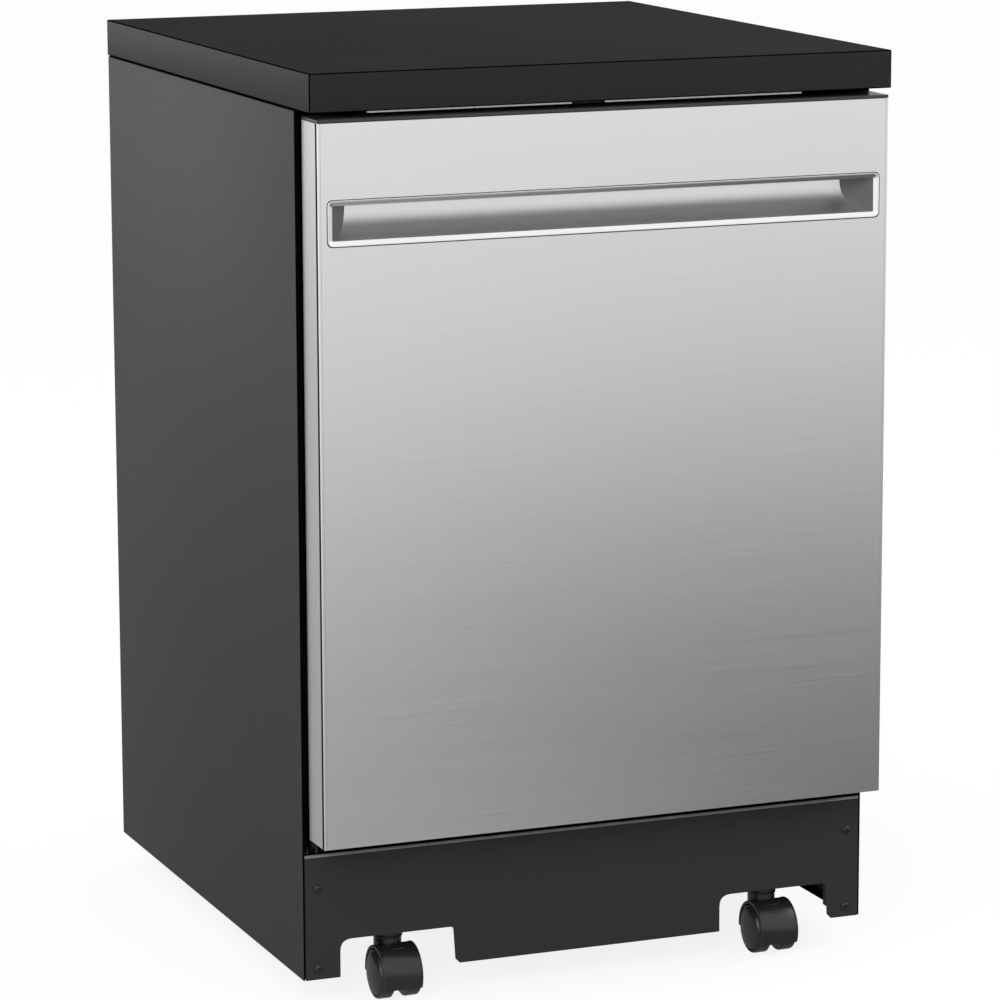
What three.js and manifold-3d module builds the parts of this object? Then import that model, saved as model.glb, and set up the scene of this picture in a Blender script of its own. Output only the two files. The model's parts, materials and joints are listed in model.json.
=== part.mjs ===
// Portable dishwasher on four swivelling twin-wheel casters.
// Millimetres, +Z up. The front, with the door, faces -Y and the machine's left is -X.
// The origin is on the floor, under the middle of the machine.
import * as THREE from 'three'
import { mergeVertices } from 'three/addons/utils/BufferGeometryUtils.js'
import Module from 'manifold-3d'

const wasm = await Module()
wasm.setup()

// ---------------------------------------------------------------- driving dimensions
// Fits
const seatGap = 0.3 // between faces that rest on one another
const runningGap = 0.3 // round pins and stems that turn or slide
const over = 1 // how far a cut reaches past its piece, or a join into its neighbour

// Worktop
const worktopWidth = 609.6
const worktopDepth = 648
const worktopThickness = 37.7
const worktopLip = 0.85 // worktop past each side panel
const overallHeight = 927.2
const shadowGap = 1.8 // dark line between the worktop and the side panels

// Cabinet of painted sheet
const sheet = 1.5
const cabinetInset = 46.9 // front edge of the side panels, behind the worktop's front edge
const cabinetBottom = 29.2
const sideFlange = 11 // the side panels' inward fold at the bottom
const hemWidth = 5.4 // folded front edge of a side panel
const hemDepth = 4
const hemRise = 3 // hem starts above the toe panel
const topRailWidth = 13 // fold that carries the worktop
const topRailInset = 2.5
const backInset = 7 // back panel, in from the rear edge of the sides

// Toe panel with a cut-out in front of each caster
const toeInset = 2.35 // ends of the toe panel, in from the cabinet's sides
const toeSheet = 1.2
const toeTop = 157
const toeFold = 5
const cutoutWidth = 120
const cutoutTop = 67.5
const cutoutCorner = 12
const cutoutSmallCorner = 4
const cutoutDraft = 2 // its right side leans out towards the bottom
const cutoutChamfer = 4.5 // at the bottom of its right side
const screwInset = 13.6 // screws, in from the ends of the toe panel
const screwHighZ = 121.7
const screwLowZ = 40.2
const screwHeadRadius = 4.5
const screwHeadHeight = 1.8
const screwShankRadius = 2
const screwLength = 5

// Base frame of channels that are open below
const beamBottom = 66.2
const beamHeight = 28.8
const beamDepth = 46
const beamGap = 4 // front beam, behind the toe panel
const railWidth = 22
const railInset = 19.95 // rails, in from the cabinet's sides
const postSize = 20
const plate = 3
const bracketFloor = 5 // thickness of the spring's anchor
const bracketMargin = 8 // bracket past the spring
const bracketRise = 10 // screw tab above the upper screw
const guideSheet = 2 // wall beside the slotted link
const guideMargin = 12

// Tub
const tubSideGap = 27.95 // between the tub and the cabinet's sides
const tubRearGap = 54.9 // between the tub and the back panel
const tubWall = 2
const tubBottom = 176
const tubSetback = 1.7 // tub's front face behind the side panels' front edge
const tubHeadroom = 6 // tub's roof below the top of its flange
const flangeLip = 9.7 // front flange past the tub's sides
const flangeThickness = 1.5
const flangeGap = 9.5 // top of the flange below the worktop
const flangeDrop = 10 // bottom of the flange below the tub
const crestInset = 46 // ends of the light edge under the worktop, in from the tub's sides
const crestGap = 17 // half of the opening in it for the strike
const crestClearance = 0.6 // its top below the worktop
const ledgeWidth = 28
const ledgeRise = 30
const ledgeSetback = 6
const sealThickness = 4.7
const sealDepth = 9
const sealSetback = 3
const railGuideLength = 30
const railGuideHalf = 6
const railGuideSetback = 36 // front guide behind the tub's front face
const railGuideRearGap = 160 // rear guide in front of the tub's back

// Door
const doorInset = 4.85 // door's sides, in from the cabinet's sides
const doorDepth = 44.6
const doorFootGap = 18.1 // door above the toe panel
const doorHeadGap = 9.3 // door's steel below the worktop
const doorProud = 5.4 // door's face in front of the worktop's front edge
const doorSheet = 1.2
const bottomReturn = 12
const liner = 2
const linerFoot = 14.9 // liner above the door's bottom edge
const linerHead = 2.2 // liner below the door's top edge
const plugSideGap = 3 // liner's raised plug inside the tub
const plugDepth = 11.4
const plugFoot = 20
const plugHead = 10
const hingeSetback = 38 // hinge axis behind the door's face
const hingeRise = 9.9 // hinge axis above the door's bottom edge
const capThickness = 3.1
const consoleWall = 2
const consoleFoot = 7.5 // console wall above the bezel

// Handle pocket
const bezelProud = 0.6
const bezelInset = 8.95 // bezel, in from the door's sides
const bezelDrop = 117.7 // bottom of the bezel below the door's top edge
const bezelHeight = 45
const bezelRim = 5.8
const bezelThickness = 2.6
const pocketDepth = 32
const pocketEndTaper = 23
const pocketWall = 1.8
const pocketSteps = 6
const pocketSweep = 1.45 // share of the scoop's curve, in radians

// Controls on the door's top edge
const controlSetback = 38
const buttonDepth = 6
const buttonTravel = 1
const buttonStem = 4.5 // key below the cap
const buttonRecess = 0.2 // key's top below the cap's top
const buttonSpecs = [
  { name: 'power_button', x: -158, width: 6 },
  { name: 'cycle_button', x: 60, width: 6 },
  { name: 'options_button', x: 129, width: 8 },
  { name: 'start_button', x: 158, width: 8 },
]
const boardHalf = 190
const boardDepth = 32
const boardThickness = 2
const boardOverhang = 4 // board behind the line of the keys
const boardPost = 6
const boardPostInset = 2

// Latch
const strikeWidth = 33
const strikeSheet = 3
const strikeLip = 4
const tongueWidth = 16
const tongueThickness = 2.5
const tongueDrop = 10.2 // tongue below the door's top edge
const tongueSetback = 30
const latchGap = 0.6
const jawThickness = 3
const latchWidth = 28
const latchSetback = 20
const latchBridge = 6
const latchPostInset = 4
const latchPostDepth = 3.7

// Hinges and counterbalance
const armInset = 6.4 // inner face of a hinge arm, in from the door's side
const armThickness = 3
const armRadius = 45 // hinge axis to the tail pin
const armHalfWidth = 4.5
const armReach = 145
const armRoot = 9
const legFront = 26 // the leg that goes up into the door, in front of the hinge axis
const legBack = 6
const legFoot = 24
const padInset = 2
const earGap = 2.5 // between a hinge ear and its arm
const earRadius = 7
const earDepth = 11
const pinRadius = 4
const tailPinRadius = 3
const doorSwing = Math.PI / 2
const linkGap = 0.8
const linkWall = 5.25
const linkDrop = 20
const slotClearance = 1.75 // above and below the tail pin
const slotEnd = 2
const springRadius = 6
const springFoot = 38

// Detergent dispenser on the door's inner face
const dispenserWidth = 150
const dispenserBottom = 470
const dispenserHeight = 155
const dispenserBack = 14
const dispenserProud = 1.5
const cupWidth = 54
const cupHeight = 58
const cupDepth = 11
const cupX = -35
const cupRise = 18
const coverThickness = 2.5
const coverMargin = 4
const coverGrip = 6
const rinseX = 38
const rinseRise = 47
const rinseRadius = 18
const rinseHeight = 5
const rinseStem = 6
const rinseSocket = 8

// Racks
const wire = 4
const rackSetback = 29 // front of both racks behind the tub's front face
const rackRearGap = 25 // between the racks and the tub's back
const rackBars = 6
const upperRackGap = 24 // between the upper rack and the tub's inner sides
const upperRackDrop = 349 // its floor below the tub's roof
const upperRackHeight = 140
const lowerRackGap = 29
const lowerRackRise = 25 // its floor above the tub's ledges
const lowerRackHeight = 149
const rackWheelRadius = 15
const rackWheelWidth = 11
const rackWheelPin = 3
const rackWheelGap = 4 // between the lower rack's side and its wheels
const rackWheelLug = 6
const frontWheelSetback = 55
const rearWheelSetback = 65
const sliderHeight = 8
const sliderLength = 11
const sliderInset = 20
const slideRailHeight = 16
const slideRailWidth = 6
const slideRailRise = 115 // rails above the upper rack's floor
const slideRailReach = 8
const pipeHalf = 9
const pipeDrop = 10
const basketWidth = 78
const basketLength = 280
const basketHeight = 135
const basketWall = 2.5
const basketCells = 3
const basketInset = 7
const basketSetback = 37
const basketHandle = 40
const handleHalf = 6
const handleGrip = 4

// Water parts
const armSideGap = 16 // a spray arm's tip from the tub's ledges
const armEndGap = 38 // and from the tub's front and back
const upperArmTrim = 15
const sprayArmWidth = 28
const sprayArmThickness = 10
const sprayTipShare = 0.7
const lowerArmRise = 15 // lower arm above the tub's floor
const upperArmDrop = 25 // upper arm below the upper rack's floor
const hubRadius = 20
const lowerHubExtra = 2
const lowerHubRise = 4
const upperHubRise = 4.7
const riserRadius = 12
const sumpWidth = 150
const sumpLength = 174
const sumpMouthWidth = 120
const sumpMouthLength = 150
const sumpDepth = 66
const sumpWall = 3
const bowlInsetX = 5
const bowlInsetY = 8
const filterRadius = 24
const filterWall = 2
const filterDepth = 45
const filterRim = 4
const filterGap = 0.5
const filterOffset = 39.5 // filter cup in front of the riser
const heaterInset = 50 // heater's ring inside the lower arm's sweep
const heaterTube = 4
const heaterRise = 9
const heaterOpening = 0.35
const heaterLegExtra = 1.5
const floatInset = 69
const floatSetback = 64
const floatRadius = 20
const floatHeight = 24
const floatStem = 3.5
const floatStemLength = 16
const floatShoulder = 0.7
const floatCrown = 0.6
const washMotorRadius = 32
const washMotorLength = 120
const drainMotorRadius = 24
const drainMotorLength = 66
const motorSpout = 14
const motorLap = 2
const motorSeat = 0.6 // axis above the bowl's floor, as a share of the radius
const spoutShare = 0.4
const valveX = 43
const valveHalf = 23
const valveFront = 16
const valveBack = 18
const valveHeight = 34
const valveSpoutX = 32
const valveSpoutRadius = 8
const valveSpoutRise = 18
const feedWidth = 24
const feedDepth = 15
const feedRise = 14
const outletWidth = 120
const outletHeight = 70
const outletX = -80
const outletZ = 135
const outletLap = 10 // plate past its hole in the back panel
const outletCollars = [
  { x: -30, outer: 13, bore: 9.5 },
  { x: 5, outer: 13, bore: 9.5 },
  { x: 34, outer: 9, bore: 5 },
]
const collarReach = 9

// Casters
const casterInset = 98.45 // swivel axes, in from the cabinet's sides
const casterSetback = 28.1 // front swivel axes behind the side panels' front edge
const rearCasterInset = 80.4 // rear swivel axes in front of the worktop's rear edge
const casterTrail = 18.4
const wheelRadius = 25
const wheelHalfWidth = 24.6
const wheelInner = 6.8
const treadBevel = 1.5
const treadWidth = 5 // domed side of a wheel, up to its tread
const domeShare = 0.6
const domeRise = 0.8
const webHalfWidth = 6
const webHalfDepth = 11
const axleRadius = 3.2
const hoodGap = 1
const hoodThickness = 2.5
const hoodHalfWidth = 20.4
const hoodFront = 0.42 // the hood's front edge below the axle, in radians
const hoodRear = 0.12
const neckRadius = 14
const neckFoot = 8
const stemRadius = 5.5
const stemLength = 23

// ---------------------------------------------------------------- derived places
const overallDepth = bezelProud + doorProud + worktopDepth
const worktopBottom = overallHeight - worktopThickness
const worktopFront = bezelProud + doorProud - overallDepth / 2
const worktopBack = worktopFront + worktopDepth
const cabinetHalf = worktopWidth / 2 - worktopLip
const cabinetFront = worktopFront + cabinetInset
const panelTop = worktopBottom - shadowGap
const backFace = worktopBack - backInset
const backInner = backFace - sheet

const toeHalf = cabinetHalf - toeInset
const toeFace = cabinetFront - seatGap
const screwX = toeHalf - screwInset
const casterX = cabinetHalf - casterInset
const frontCasterY = cabinetFront + casterSetback
const rearCasterY = worktopBack - rearCasterInset
const beamTop = beamBottom + beamHeight
const beamFront = toeFace + toeSheet + seatGap + beamGap
const railHalf = cabinetHalf - railInset
const railInner = railHalf - railWidth

const tubFront = cabinetFront + tubSetback
const tubBack = backInner - tubRearGap
const tubMiddle = (tubFront + tubBack) / 2
const tubHalf = cabinetHalf - tubSideGap
const tubInner = tubHalf - tubWall
const tubFloor = tubBottom + tubWall
const flangeHalf = tubHalf + flangeLip
const flangeTop = worktopBottom - flangeGap
const flangeBottom = tubBottom - flangeDrop
const tubTop = flangeTop - tubHeadroom
const crestTop = worktopBottom - crestClearance
const ledgeTop = tubBottom + ledgeRise

const doorFace = worktopFront - doorProud
const doorBack = doorFace + doorDepth
const doorBottom = toeTop + doorFootGap
const doorTop = worktopBottom - doorHeadGap
const doorHalf = cabinetHalf - doorInset
const returnInner = doorHalf - doorSheet
const linerInner = doorBack - liner
const plugFace = doorBack + plugDepth
const plugHalf = tubInner - plugSideGap
const plugBottom = tubBottom + plugFoot
const plugTop = tubTop - plugHead
const capBottom = doorTop + seatGap
const capTop = capBottom + capThickness
const controlY = doorFace + controlSetback
const buttonBottom = capBottom - buttonStem
const boardTop = buttonBottom - buttonTravel - seatGap
const boardBack = controlY + boardOverhang
const boardFront = boardBack - boardDepth
const bezelHalf = doorHalf - bezelInset
const bezelBottom = doorTop - bezelDrop
const bezelTop = bezelBottom + bezelHeight
const bezelFace = doorFace - bezelProud
const scoopDepth = pocketDepth + bezelProud
const tongueZ = doorTop - tongueDrop
const tongueTop = tongueZ + tongueThickness
const latchFront = doorFace + latchSetback

const hingeY = doorFace + hingeSetback
const hingeZ = doorBottom + hingeRise
const armOffset = returnInner - armInset
const armOuter = armOffset + armThickness
const earOffset = armOffset - earGap - plate
const linkTravel = 2 * armRadius * Math.sin(doorSwing / 2)
const tailZ = hingeZ - linkTravel / 2
const tailY = hingeY + armRadius * Math.cos(doorSwing / 2)
const linkX = armOuter + linkGap
const linkOuter = linkX + plate
const slotHalf = tailPinRadius + slotClearance
const linkBottom = tailZ - slotHalf - linkDrop
const springX = earOffset + springRadius
const springY = tailY + springRadius + over
const guideInner = linkOuter + seatGap
const bracketBack = tailY + 2 * springRadius + bracketMargin
const bracketBottom = springFoot - bracketFloor

const cupMiddle = dispenserBottom + cupRise + cupHeight / 2
const rinseZ = dispenserBottom + rinseRise
const dispenserFace = plugFace + dispenserProud
const rackFront = tubFront + rackSetback
const rackBack = tubBack - rackRearGap
const upperRackHalf = tubInner - upperRackGap
const upperRackBottom = tubTop - upperRackDrop
const lowerRackHalf = tubInner - lowerRackGap
const lowerRackBottom = ledgeTop + lowerRackRise
const slideRailZ = upperRackBottom + slideRailRise
const slideRailInner = upperRackHalf + sliderLength
const rackWheelZ = ledgeTop + seatGap + rackWheelRadius
const rackWheelInner = lowerRackHalf + rackWheelGap
const rackWheelPlaces = [rackFront + frontWheelSetback, rackBack - rearWheelSetback]
const armSweep = Math.min(tubInner - ledgeWidth - armSideGap, (tubBack - tubFront) / 2 - armEndGap)
const lowerArmZ = tubFloor + lowerArmRise
const upperArmZ = upperRackBottom - upperArmDrop
const heaterRadius = armSweep - heaterInset
const sumpTop = tubBottom - seatGap
const bowlHalfX = sumpMouthWidth / 2 - bowlInsetX
const bowlHalfY = sumpMouthLength / 2 - bowlInsetY
const floatX = floatInset - tubInner
const floatY = tubFront + floatSetback

// ---------------------------------------------------------------- shape helpers
function toSolid(geometry) {
  const bare = geometry.clone()
  bare.deleteAttribute('normal')
  bare.deleteAttribute('uv')
  const merged = mergeVertices(bare, 1e-4)
  const solidMesh = new wasm.Mesh({
    numProp: 3,
    vertProperties: new Float32Array(merged.attributes.position.array),
    triVerts: new Uint32Array(merged.index.array),
  })
  return new wasm.Manifold(solidMesh)
}

function toGeometry(solid) {
  const result = solid.getMesh()
  const geometry = new THREE.BufferGeometry()
  geometry.setAttribute('position', new THREE.BufferAttribute(new Float32Array(result.vertProperties), 3))
  geometry.setIndex(new THREE.BufferAttribute(new Uint32Array(result.triVerts), 1))
  geometry.computeVertexNormals()
  return geometry
}

const join = (...solids) => solids.flat().reduce((whole, piece) => whole.add(piece))
const cut = (solid, ...tools) => tools.flat().reduce((whole, tool) => whole.subtract(tool), solid)

// Puts the two ends of a shape exactly on two places along an axis, so that flush faces are flush.
function setEnds(geometry, axis, from, to) {
  const position = geometry.attributes.position
  const component = 'xyz'.indexOf(axis)
  const middle = (from + to) / 2
  for (let i = 0; i < position.count; i += 1) {
    position.setComponent(i, component, position.getComponent(i, component) < middle ? from : to)
  }
  return geometry
}

function block(x0, x1, y0, y1, z0, z1) {
  const geometry = new THREE.BoxGeometry(x1 - x0, y1 - y0, z1 - z0)
  geometry.translate((x0 + x1) / 2, (y0 + y1) / 2, (z0 + z1) / 2)
  setEnds(geometry, 'x', x0, x1)
  setEnds(geometry, 'y', y0, y1)
  return toSolid(setEnds(geometry, 'z', z0, z1))
}

// Two distances from the middle, on the side given by -1 or 1, as a low and a high place.
const sidePair = (side, inner, outer) => [side * inner, side * outer].sort((a, b) => a - b)
const sideBlock = (side, inner, outer, ...rest) => block(...sidePair(side, inner, outer), ...rest)
const spanBlock = (half, ...rest) => block(-half, half, ...rest)

// A round bar between two places along one axis.
function bar(axis, radius, from, to, a, b, facets = 16) {
  const geometry = new THREE.CylinderGeometry(radius, radius, to - from, facets)
  const middle = (from + to) / 2
  if (axis === 'x') {
    geometry.rotateZ(Math.PI / 2)
    geometry.translate(middle, a, b)
  } else if (axis === 'y') {
    geometry.translate(a, middle, b)
  } else {
    geometry.rotateX(Math.PI / 2)
    geometry.translate(a, b, middle)
  }
  return toSolid(setEnds(geometry, axis, from, to))
}

// A profile drawn in the Y-Z plane and run along X between two places.
function runAlongX(shape, [x0, x1], curveSegments = 6) {
  const depth = x1 - x0
  const geometry = new THREE.ExtrudeGeometry(shape, { depth, bevelEnabled: false, curveSegments })
  geometry.rotateX(Math.PI / 2)
  geometry.rotateZ(Math.PI / 2)
  geometry.translate(x0, 0, 0)
  return toSolid(setEnds(geometry, 'x', x0, x1))
}

// A profile drawn in the X-Z plane and run along Y between two places.
function runAlongY(shape, [y0, y1], curveSegments = 5) {
  const depth = y1 - y0
  const geometry = new THREE.ExtrudeGeometry(shape, { depth, bevelEnabled: false, curveSegments })
  geometry.rotateX(Math.PI / 2)
  geometry.translate(0, y1, 0)
  return toSolid(setEnds(geometry, 'y', y0, y1))
}

// A solid through rings of equal point counts, closed with a fan at each end.
function loft(rings) {
  const count = rings[0].length
  const positions = rings.flat().flatMap((point) => [point.x, point.y, point.z])
  const index = []
  for (let r = 0; r < rings.length - 1; r += 1) {
    for (let i = 0; i < count; i += 1) {
      const a = r * count + i
      const b = r * count + ((i + 1) % count)
      index.push(a, b + count, b)
      index.push(a, a + count, b + count)
    }
  }
  const last = (rings.length - 1) * count
  for (let i = 1; i < count - 1; i += 1) {
    index.push(0, i, i + 1)
    index.push(last, last + i + 1, last + i)
  }
  const geometry = new THREE.BufferGeometry()
  geometry.setAttribute('position', new THREE.BufferAttribute(new Float32Array(positions), 3))
  geometry.setIndex(index)
  return toSolid(geometry)
}

// Evenly spread places, both ends included.
function spread(from, to, count) {
  return Array.from({ length: count + 1 }, (_, i) => from + ((to - from) * i) / count)
}

const paint = (color, roughness, metalness = 0) => ({ color, roughness, metalness })
const charcoal = paint(0x3a3a3b, 0.5)
const darkPlastic = paint(0x1d1d1e, 0.5)
const greyPlastic = paint(0xb4b5b5, 0.55)
const stainless = paint(0xb9b9b8, 0.32, 1)
const polished = paint(0xd5d5d5, 0.16, 1)
const zinc = paint(0x9a9c9e, 0.45, 1)
const rackCoat = paint(0x8f9395, 0.5)
const rubber = paint(0x2a2a2a, 0.8)
const circuit = paint(0x2c5a3a, 0.6)
const springSteel = paint(0x77797b, 0.4, 1)

const machine = new THREE.Group()

function add(name, solid, look, place = [0, 0, 0]) {
  const mesh = new THREE.Mesh(toGeometry(solid), new THREE.MeshStandardMaterial(look))
  mesh.name = name
  mesh.position.set(...place)
  machine.add(mesh)
}

const sides = [
  { name: 'left', sign: -1 },
  { name: 'right', sign: 1 },
]

// ---------------------------------------------------------------- cabinet
const worktop = () => spanBlock(worktopWidth / 2, worktopFront, worktopBack, worktopBottom, overallHeight)

function sidePanel(sign) {
  const railOuter = cabinetHalf - topRailInset
  const railY = [cabinetFront + 2 * hemDepth, backInner - seatGap]
  const wall = sideBlock(sign, cabinetHalf - sheet, cabinetHalf, cabinetFront, worktopBack, cabinetBottom,
    panelTop)
  const hem = sideBlock(sign, cabinetHalf - hemWidth, cabinetHalf, cabinetFront, cabinetFront + hemDepth,
    toeTop + hemRise, panelTop)
  const foot = sideBlock(sign, cabinetHalf - sideFlange, cabinetHalf, cabinetFront + hemDepth, worktopBack,
    cabinetBottom, cabinetBottom + sheet)
  const fold = sideBlock(sign, railOuter - topRailWidth, cabinetHalf, ...railY, panelTop - sheet, panelTop)
  const rest = sideBlock(sign, railOuter - topRailWidth, railOuter, ...railY, panelTop - sheet,
    worktopBottom - seatGap)
  return join(wall, hem, foot, fold, rest)
}

function backPanel() {
  const half = cabinetHalf - sheet - seatGap
  const cutY = [backInner - over, backFace + over]
  const panel = spanBlock(half, backInner, backFace, cabinetBottom, panelTop)
  const notches = sides.map(({ sign }) => sideBlock(sign, cabinetHalf - sideFlange - seatGap, cabinetHalf,
    ...cutY, cabinetBottom - over, cabinetBottom + sheet + seatGap))
  const windowHalf = outletWidth / 2 - outletLap
  const windowRise = outletHeight / 2 - outletLap
  const window = block(outletX - windowHalf, outletX + windowHalf, ...cutY, outletZ - windowRise,
    outletZ + windowRise)
  return cut(panel, notches, window)
}

// A moulded plate in the back panel, with two collars for the hoses and a gland for the cord.
function serviceOutlet() {
  const front = backFace + seatGap
  const face = block(outletX - outletWidth / 2, outletX + outletWidth / 2, front, front + plate,
    outletZ - outletHeight / 2, outletZ + outletHeight / 2)
  const tubes = outletCollars.map(({ x, outer }) => bar('y', outer, front - collarReach,
    worktopBack - seatGap, outletX + x, outletZ))
  const bores = outletCollars.map(({ x, bore }) => bar('y', bore, front - collarReach - over,
    worktopBack + over, outletX + x, outletZ))
  return cut(join(face, tubes), bores)
}

// The inside of a beam, which is a channel open below, with a socket left at each caster.
function beamHollow(front, casterY) {
  const hollow = spanBlock(railInner - postSize - plate, front + plate, front + beamDepth - plate,
    beamBottom - over, beamTop - plate)
  return cut(hollow, sides.map(({ sign }) => bar('z', neckRadius, beamBottom - 2 * over, beamTop,
    sign * casterX, casterY)))
}

// Tab for the toe panel's screws, anchor of the spring and guide of the slotted link.
function springBracket(sign) {
  const wallInner = railHalf - plate
  const front = toeFace + toeSheet + seatGap
  const guideOuter = guideInner + guideSheet
  return [
    sideBlock(sign, wallInner, guideInner, front, beamFront, bracketBottom, screwHighZ + bracketRise),
    sideBlock(sign, wallInner, railHalf, beamFront - over, bracketBack, bracketBottom, beamTop),
    sideBlock(sign, wallInner, guideOuter, beamFront, bracketBack, bracketBottom, springFoot),
    sideBlock(sign, guideInner, guideOuter, tailY - guideMargin, bracketBack, bracketBottom,
      hingeZ + linkTravel / 2 + guideMargin),
  ]
}

function hingeEar(sign) {
  const back = beamFront + earDepth
  const earOuter = earOffset + plate
  return [
    sideBlock(sign, railInner, earOuter, beamFront, back, beamBottom, beamTop),
    sideBlock(sign, earOffset, earOuter, beamFront, back, beamBottom, hingeZ + earRadius),
    sideBlock(sign, earOffset, earOuter, hingeY, back, hingeZ - earRadius, hingeZ + earRadius),
    bar('x', earRadius, ...sidePair(sign, earOffset, earOuter), hingeY, hingeZ),
    bar('x', pinRadius, ...sidePair(sign, earOffset, armOuter), hingeY, hingeZ, 12),
  ]
}

function baseFrame() {
  const railBack = backInner - seatGap
  const rearBeam = rearCasterY - beamDepth / 2
  const postInset = (beamDepth - postSize) / 2
  const parts = [
    spanBlock(railHalf, beamFront, beamFront + beamDepth, beamBottom, beamTop),
    spanBlock(railHalf, rearBeam, rearBeam + beamDepth, beamBottom, beamTop),
    spanBlock(railHalf, railBack - plate, railBack, beamBottom, beamTop),
  ]
  const holes = [beamHollow(beamFront, frontCasterY), beamHollow(rearBeam, rearCasterY)]
  for (const { sign } of sides) {
    parts.push(sideBlock(sign, railInner, railHalf, beamFront, railBack, beamBottom, beamTop))
    for (const y of [beamFront + postInset, rearBeam + postInset]) {
      parts.push(sideBlock(sign, railInner - postSize, railInner + over, y, y + postSize, beamBottom,
        tubBottom - seatGap))
    }
    parts.push(...springBracket(sign), ...hingeEar(sign))
    holes.push(sideBlock(sign, railInner + plate, railHalf - plate, beamFront + beamDepth + plate,
      rearBeam - plate, beamBottom - over, beamTop - plate))
    for (const y of [frontCasterY, rearCasterY]) {
      holes.push(bar('z', stemRadius + runningGap, beamBottom - over, beamTop + over, sign * casterX, y, 12))
    }
    for (const z of [screwLowZ, screwHighZ]) {
      holes.push(bar('y', screwShankRadius + runningGap, toeFace, beamFront + over, sign * screwX, z, 8))
    }
  }
  return cut(join(parts), holes)
}

// One cut-out of the toe panel: a generous curve at its top left, a small one at its top right.
function cutoutShape(centre) {
  const left = centre - cutoutWidth / 2
  const right = centre + cutoutWidth / 2
  const foot = right + cutoutDraft
  const low = cabinetBottom - over
  const shape = new THREE.Shape()
  shape.moveTo(left, low)
  shape.lineTo(foot + cutoutChamfer + over, low)
  shape.lineTo(foot, cabinetBottom + cutoutChamfer)
  shape.lineTo(right, cutoutTop - cutoutSmallCorner)
  shape.quadraticCurveTo(right, cutoutTop, right - cutoutSmallCorner, cutoutTop)
  shape.lineTo(left + cutoutCorner, cutoutTop)
  shape.quadraticCurveTo(left, cutoutTop, left, cutoutTop - cutoutCorner)
  shape.closePath()
  return shape
}

function toePanel() {
  const cutY = [toeFace - over, toeFace + toeFold + over]
  const panel = spanBlock(toeHalf, toeFace, toeFace + toeSheet, cabinetBottom, toeTop)
  const fold = spanBlock(toeHalf, toeFace, toeFace + toeFold, toeTop - toeFold, toeTop)
  const tools = [-casterX, casterX].map((centre) => runAlongY(cutoutShape(centre), cutY))
  for (const { sign } of sides) {
    for (const z of [screwLowZ, screwHighZ]) {
      tools.push(bar('y', screwShankRadius + runningGap, ...cutY, sign * screwX, z, 8))
    }
  }
  return cut(join(panel, fold), tools)
}

function toeScrew() {
  const head = bar('y', screwHeadRadius, -seatGap - screwHeadHeight, -seatGap, 0, 0, 12)
  const shank = bar('y', screwShankRadius, -seatGap - over, screwLength, 0, 0, 8)
  return join(head, shank)
}

// ---------------------------------------------------------------- tub and water parts
function tub() {
  const flangeY = [tubFront, tubFront + flangeThickness]
  const shell = spanBlock(tubHalf, tubFront, tubBack, tubBottom, tubTop)
  const flange = spanBlock(flangeHalf, ...flangeY, flangeBottom, flangeTop)
  const crests = sides.map(({ sign }) => sideBlock(sign, crestGap, tubHalf - crestInset, ...flangeY,
    flangeTop - over, crestTop))
  const cavity = spanBlock(tubInner, tubFront - over, tubBack - tubWall, tubFloor, tubTop - tubWall)
  const sumpHole = spanBlock(sumpMouthWidth / 2, tubMiddle - sumpMouthLength / 2,
    tubMiddle + sumpMouthLength / 2, tubBottom - over, tubFloor + over)
  const floatHole = bar('z', floatStem + runningGap, tubBottom - over, tubFloor + over, floatX, floatY, 12)
  const guides = [tubFront + railGuideSetback, tubBack - railGuideRearGap - railGuideLength]
  const extras = []
  for (const { sign } of sides) {
    extras.push(sideBlock(sign, tubInner - ledgeWidth, tubInner + over, tubFront + ledgeSetback,
      tubBack - over, tubFloor - over, ledgeTop))
    // Guides that the upper rack's rails slide in.
    for (const y of guides) {
      extras.push(sideBlock(sign, slideRailInner + slideRailWidth + seatGap, tubInner + over, y,
        y + railGuideLength, slideRailZ - railGuideHalf, slideRailZ + railGuideHalf))
    }
  }
  return cut(join(cut(join(shell, flange, crests), cavity), extras), sumpHole, floatHole)
}

function tubSeal() {
  const y0 = tubFront + sealSetback
  const half = tubInner - seatGap
  const top = tubTop - tubWall - seatGap
  const outer = spanBlock(half, y0, y0 + sealDepth, ledgeTop + seatGap, top)
  const inside = spanBlock(half - sealThickness, y0 - over, y0 + sealDepth + over, ledgeTop - over,
    top - sealThickness)
  return cut(outer, inside)
}

function latchStrike() {
  const back = tubFront - seatGap
  const face = spanBlock(strikeWidth / 2, back - strikeSheet, back, tongueZ - strikeLip, crestTop)
  const tongue = spanBlock(tongueWidth / 2, doorFace + tongueSetback, back - over, tongueZ, tongueTop)
  return join(face, tongue)
}

function sump() {
  const length = sumpLength / 2
  const floor = sumpTop - sumpDepth
  const flange = spanBlock(sumpWidth / 2, tubMiddle - length, tubMiddle + length, sumpTop - sumpWall, sumpTop)
  const bowl = spanBlock(bowlHalfX, tubMiddle - bowlHalfY, tubMiddle + bowlHalfY, floor, sumpTop)
  const hollow = spanBlock(bowlHalfX - sumpWall, tubMiddle - bowlHalfY + sumpWall,
    tubMiddle + bowlHalfY - sumpWall, floor + sumpWall, sumpTop + over)
  const riser = bar('z', riserRadius, floor + over, lowerArmZ - seatGap, 0, tubMiddle)
  return join(cut(join(flange, bowl), hollow), riser)
}

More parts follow.
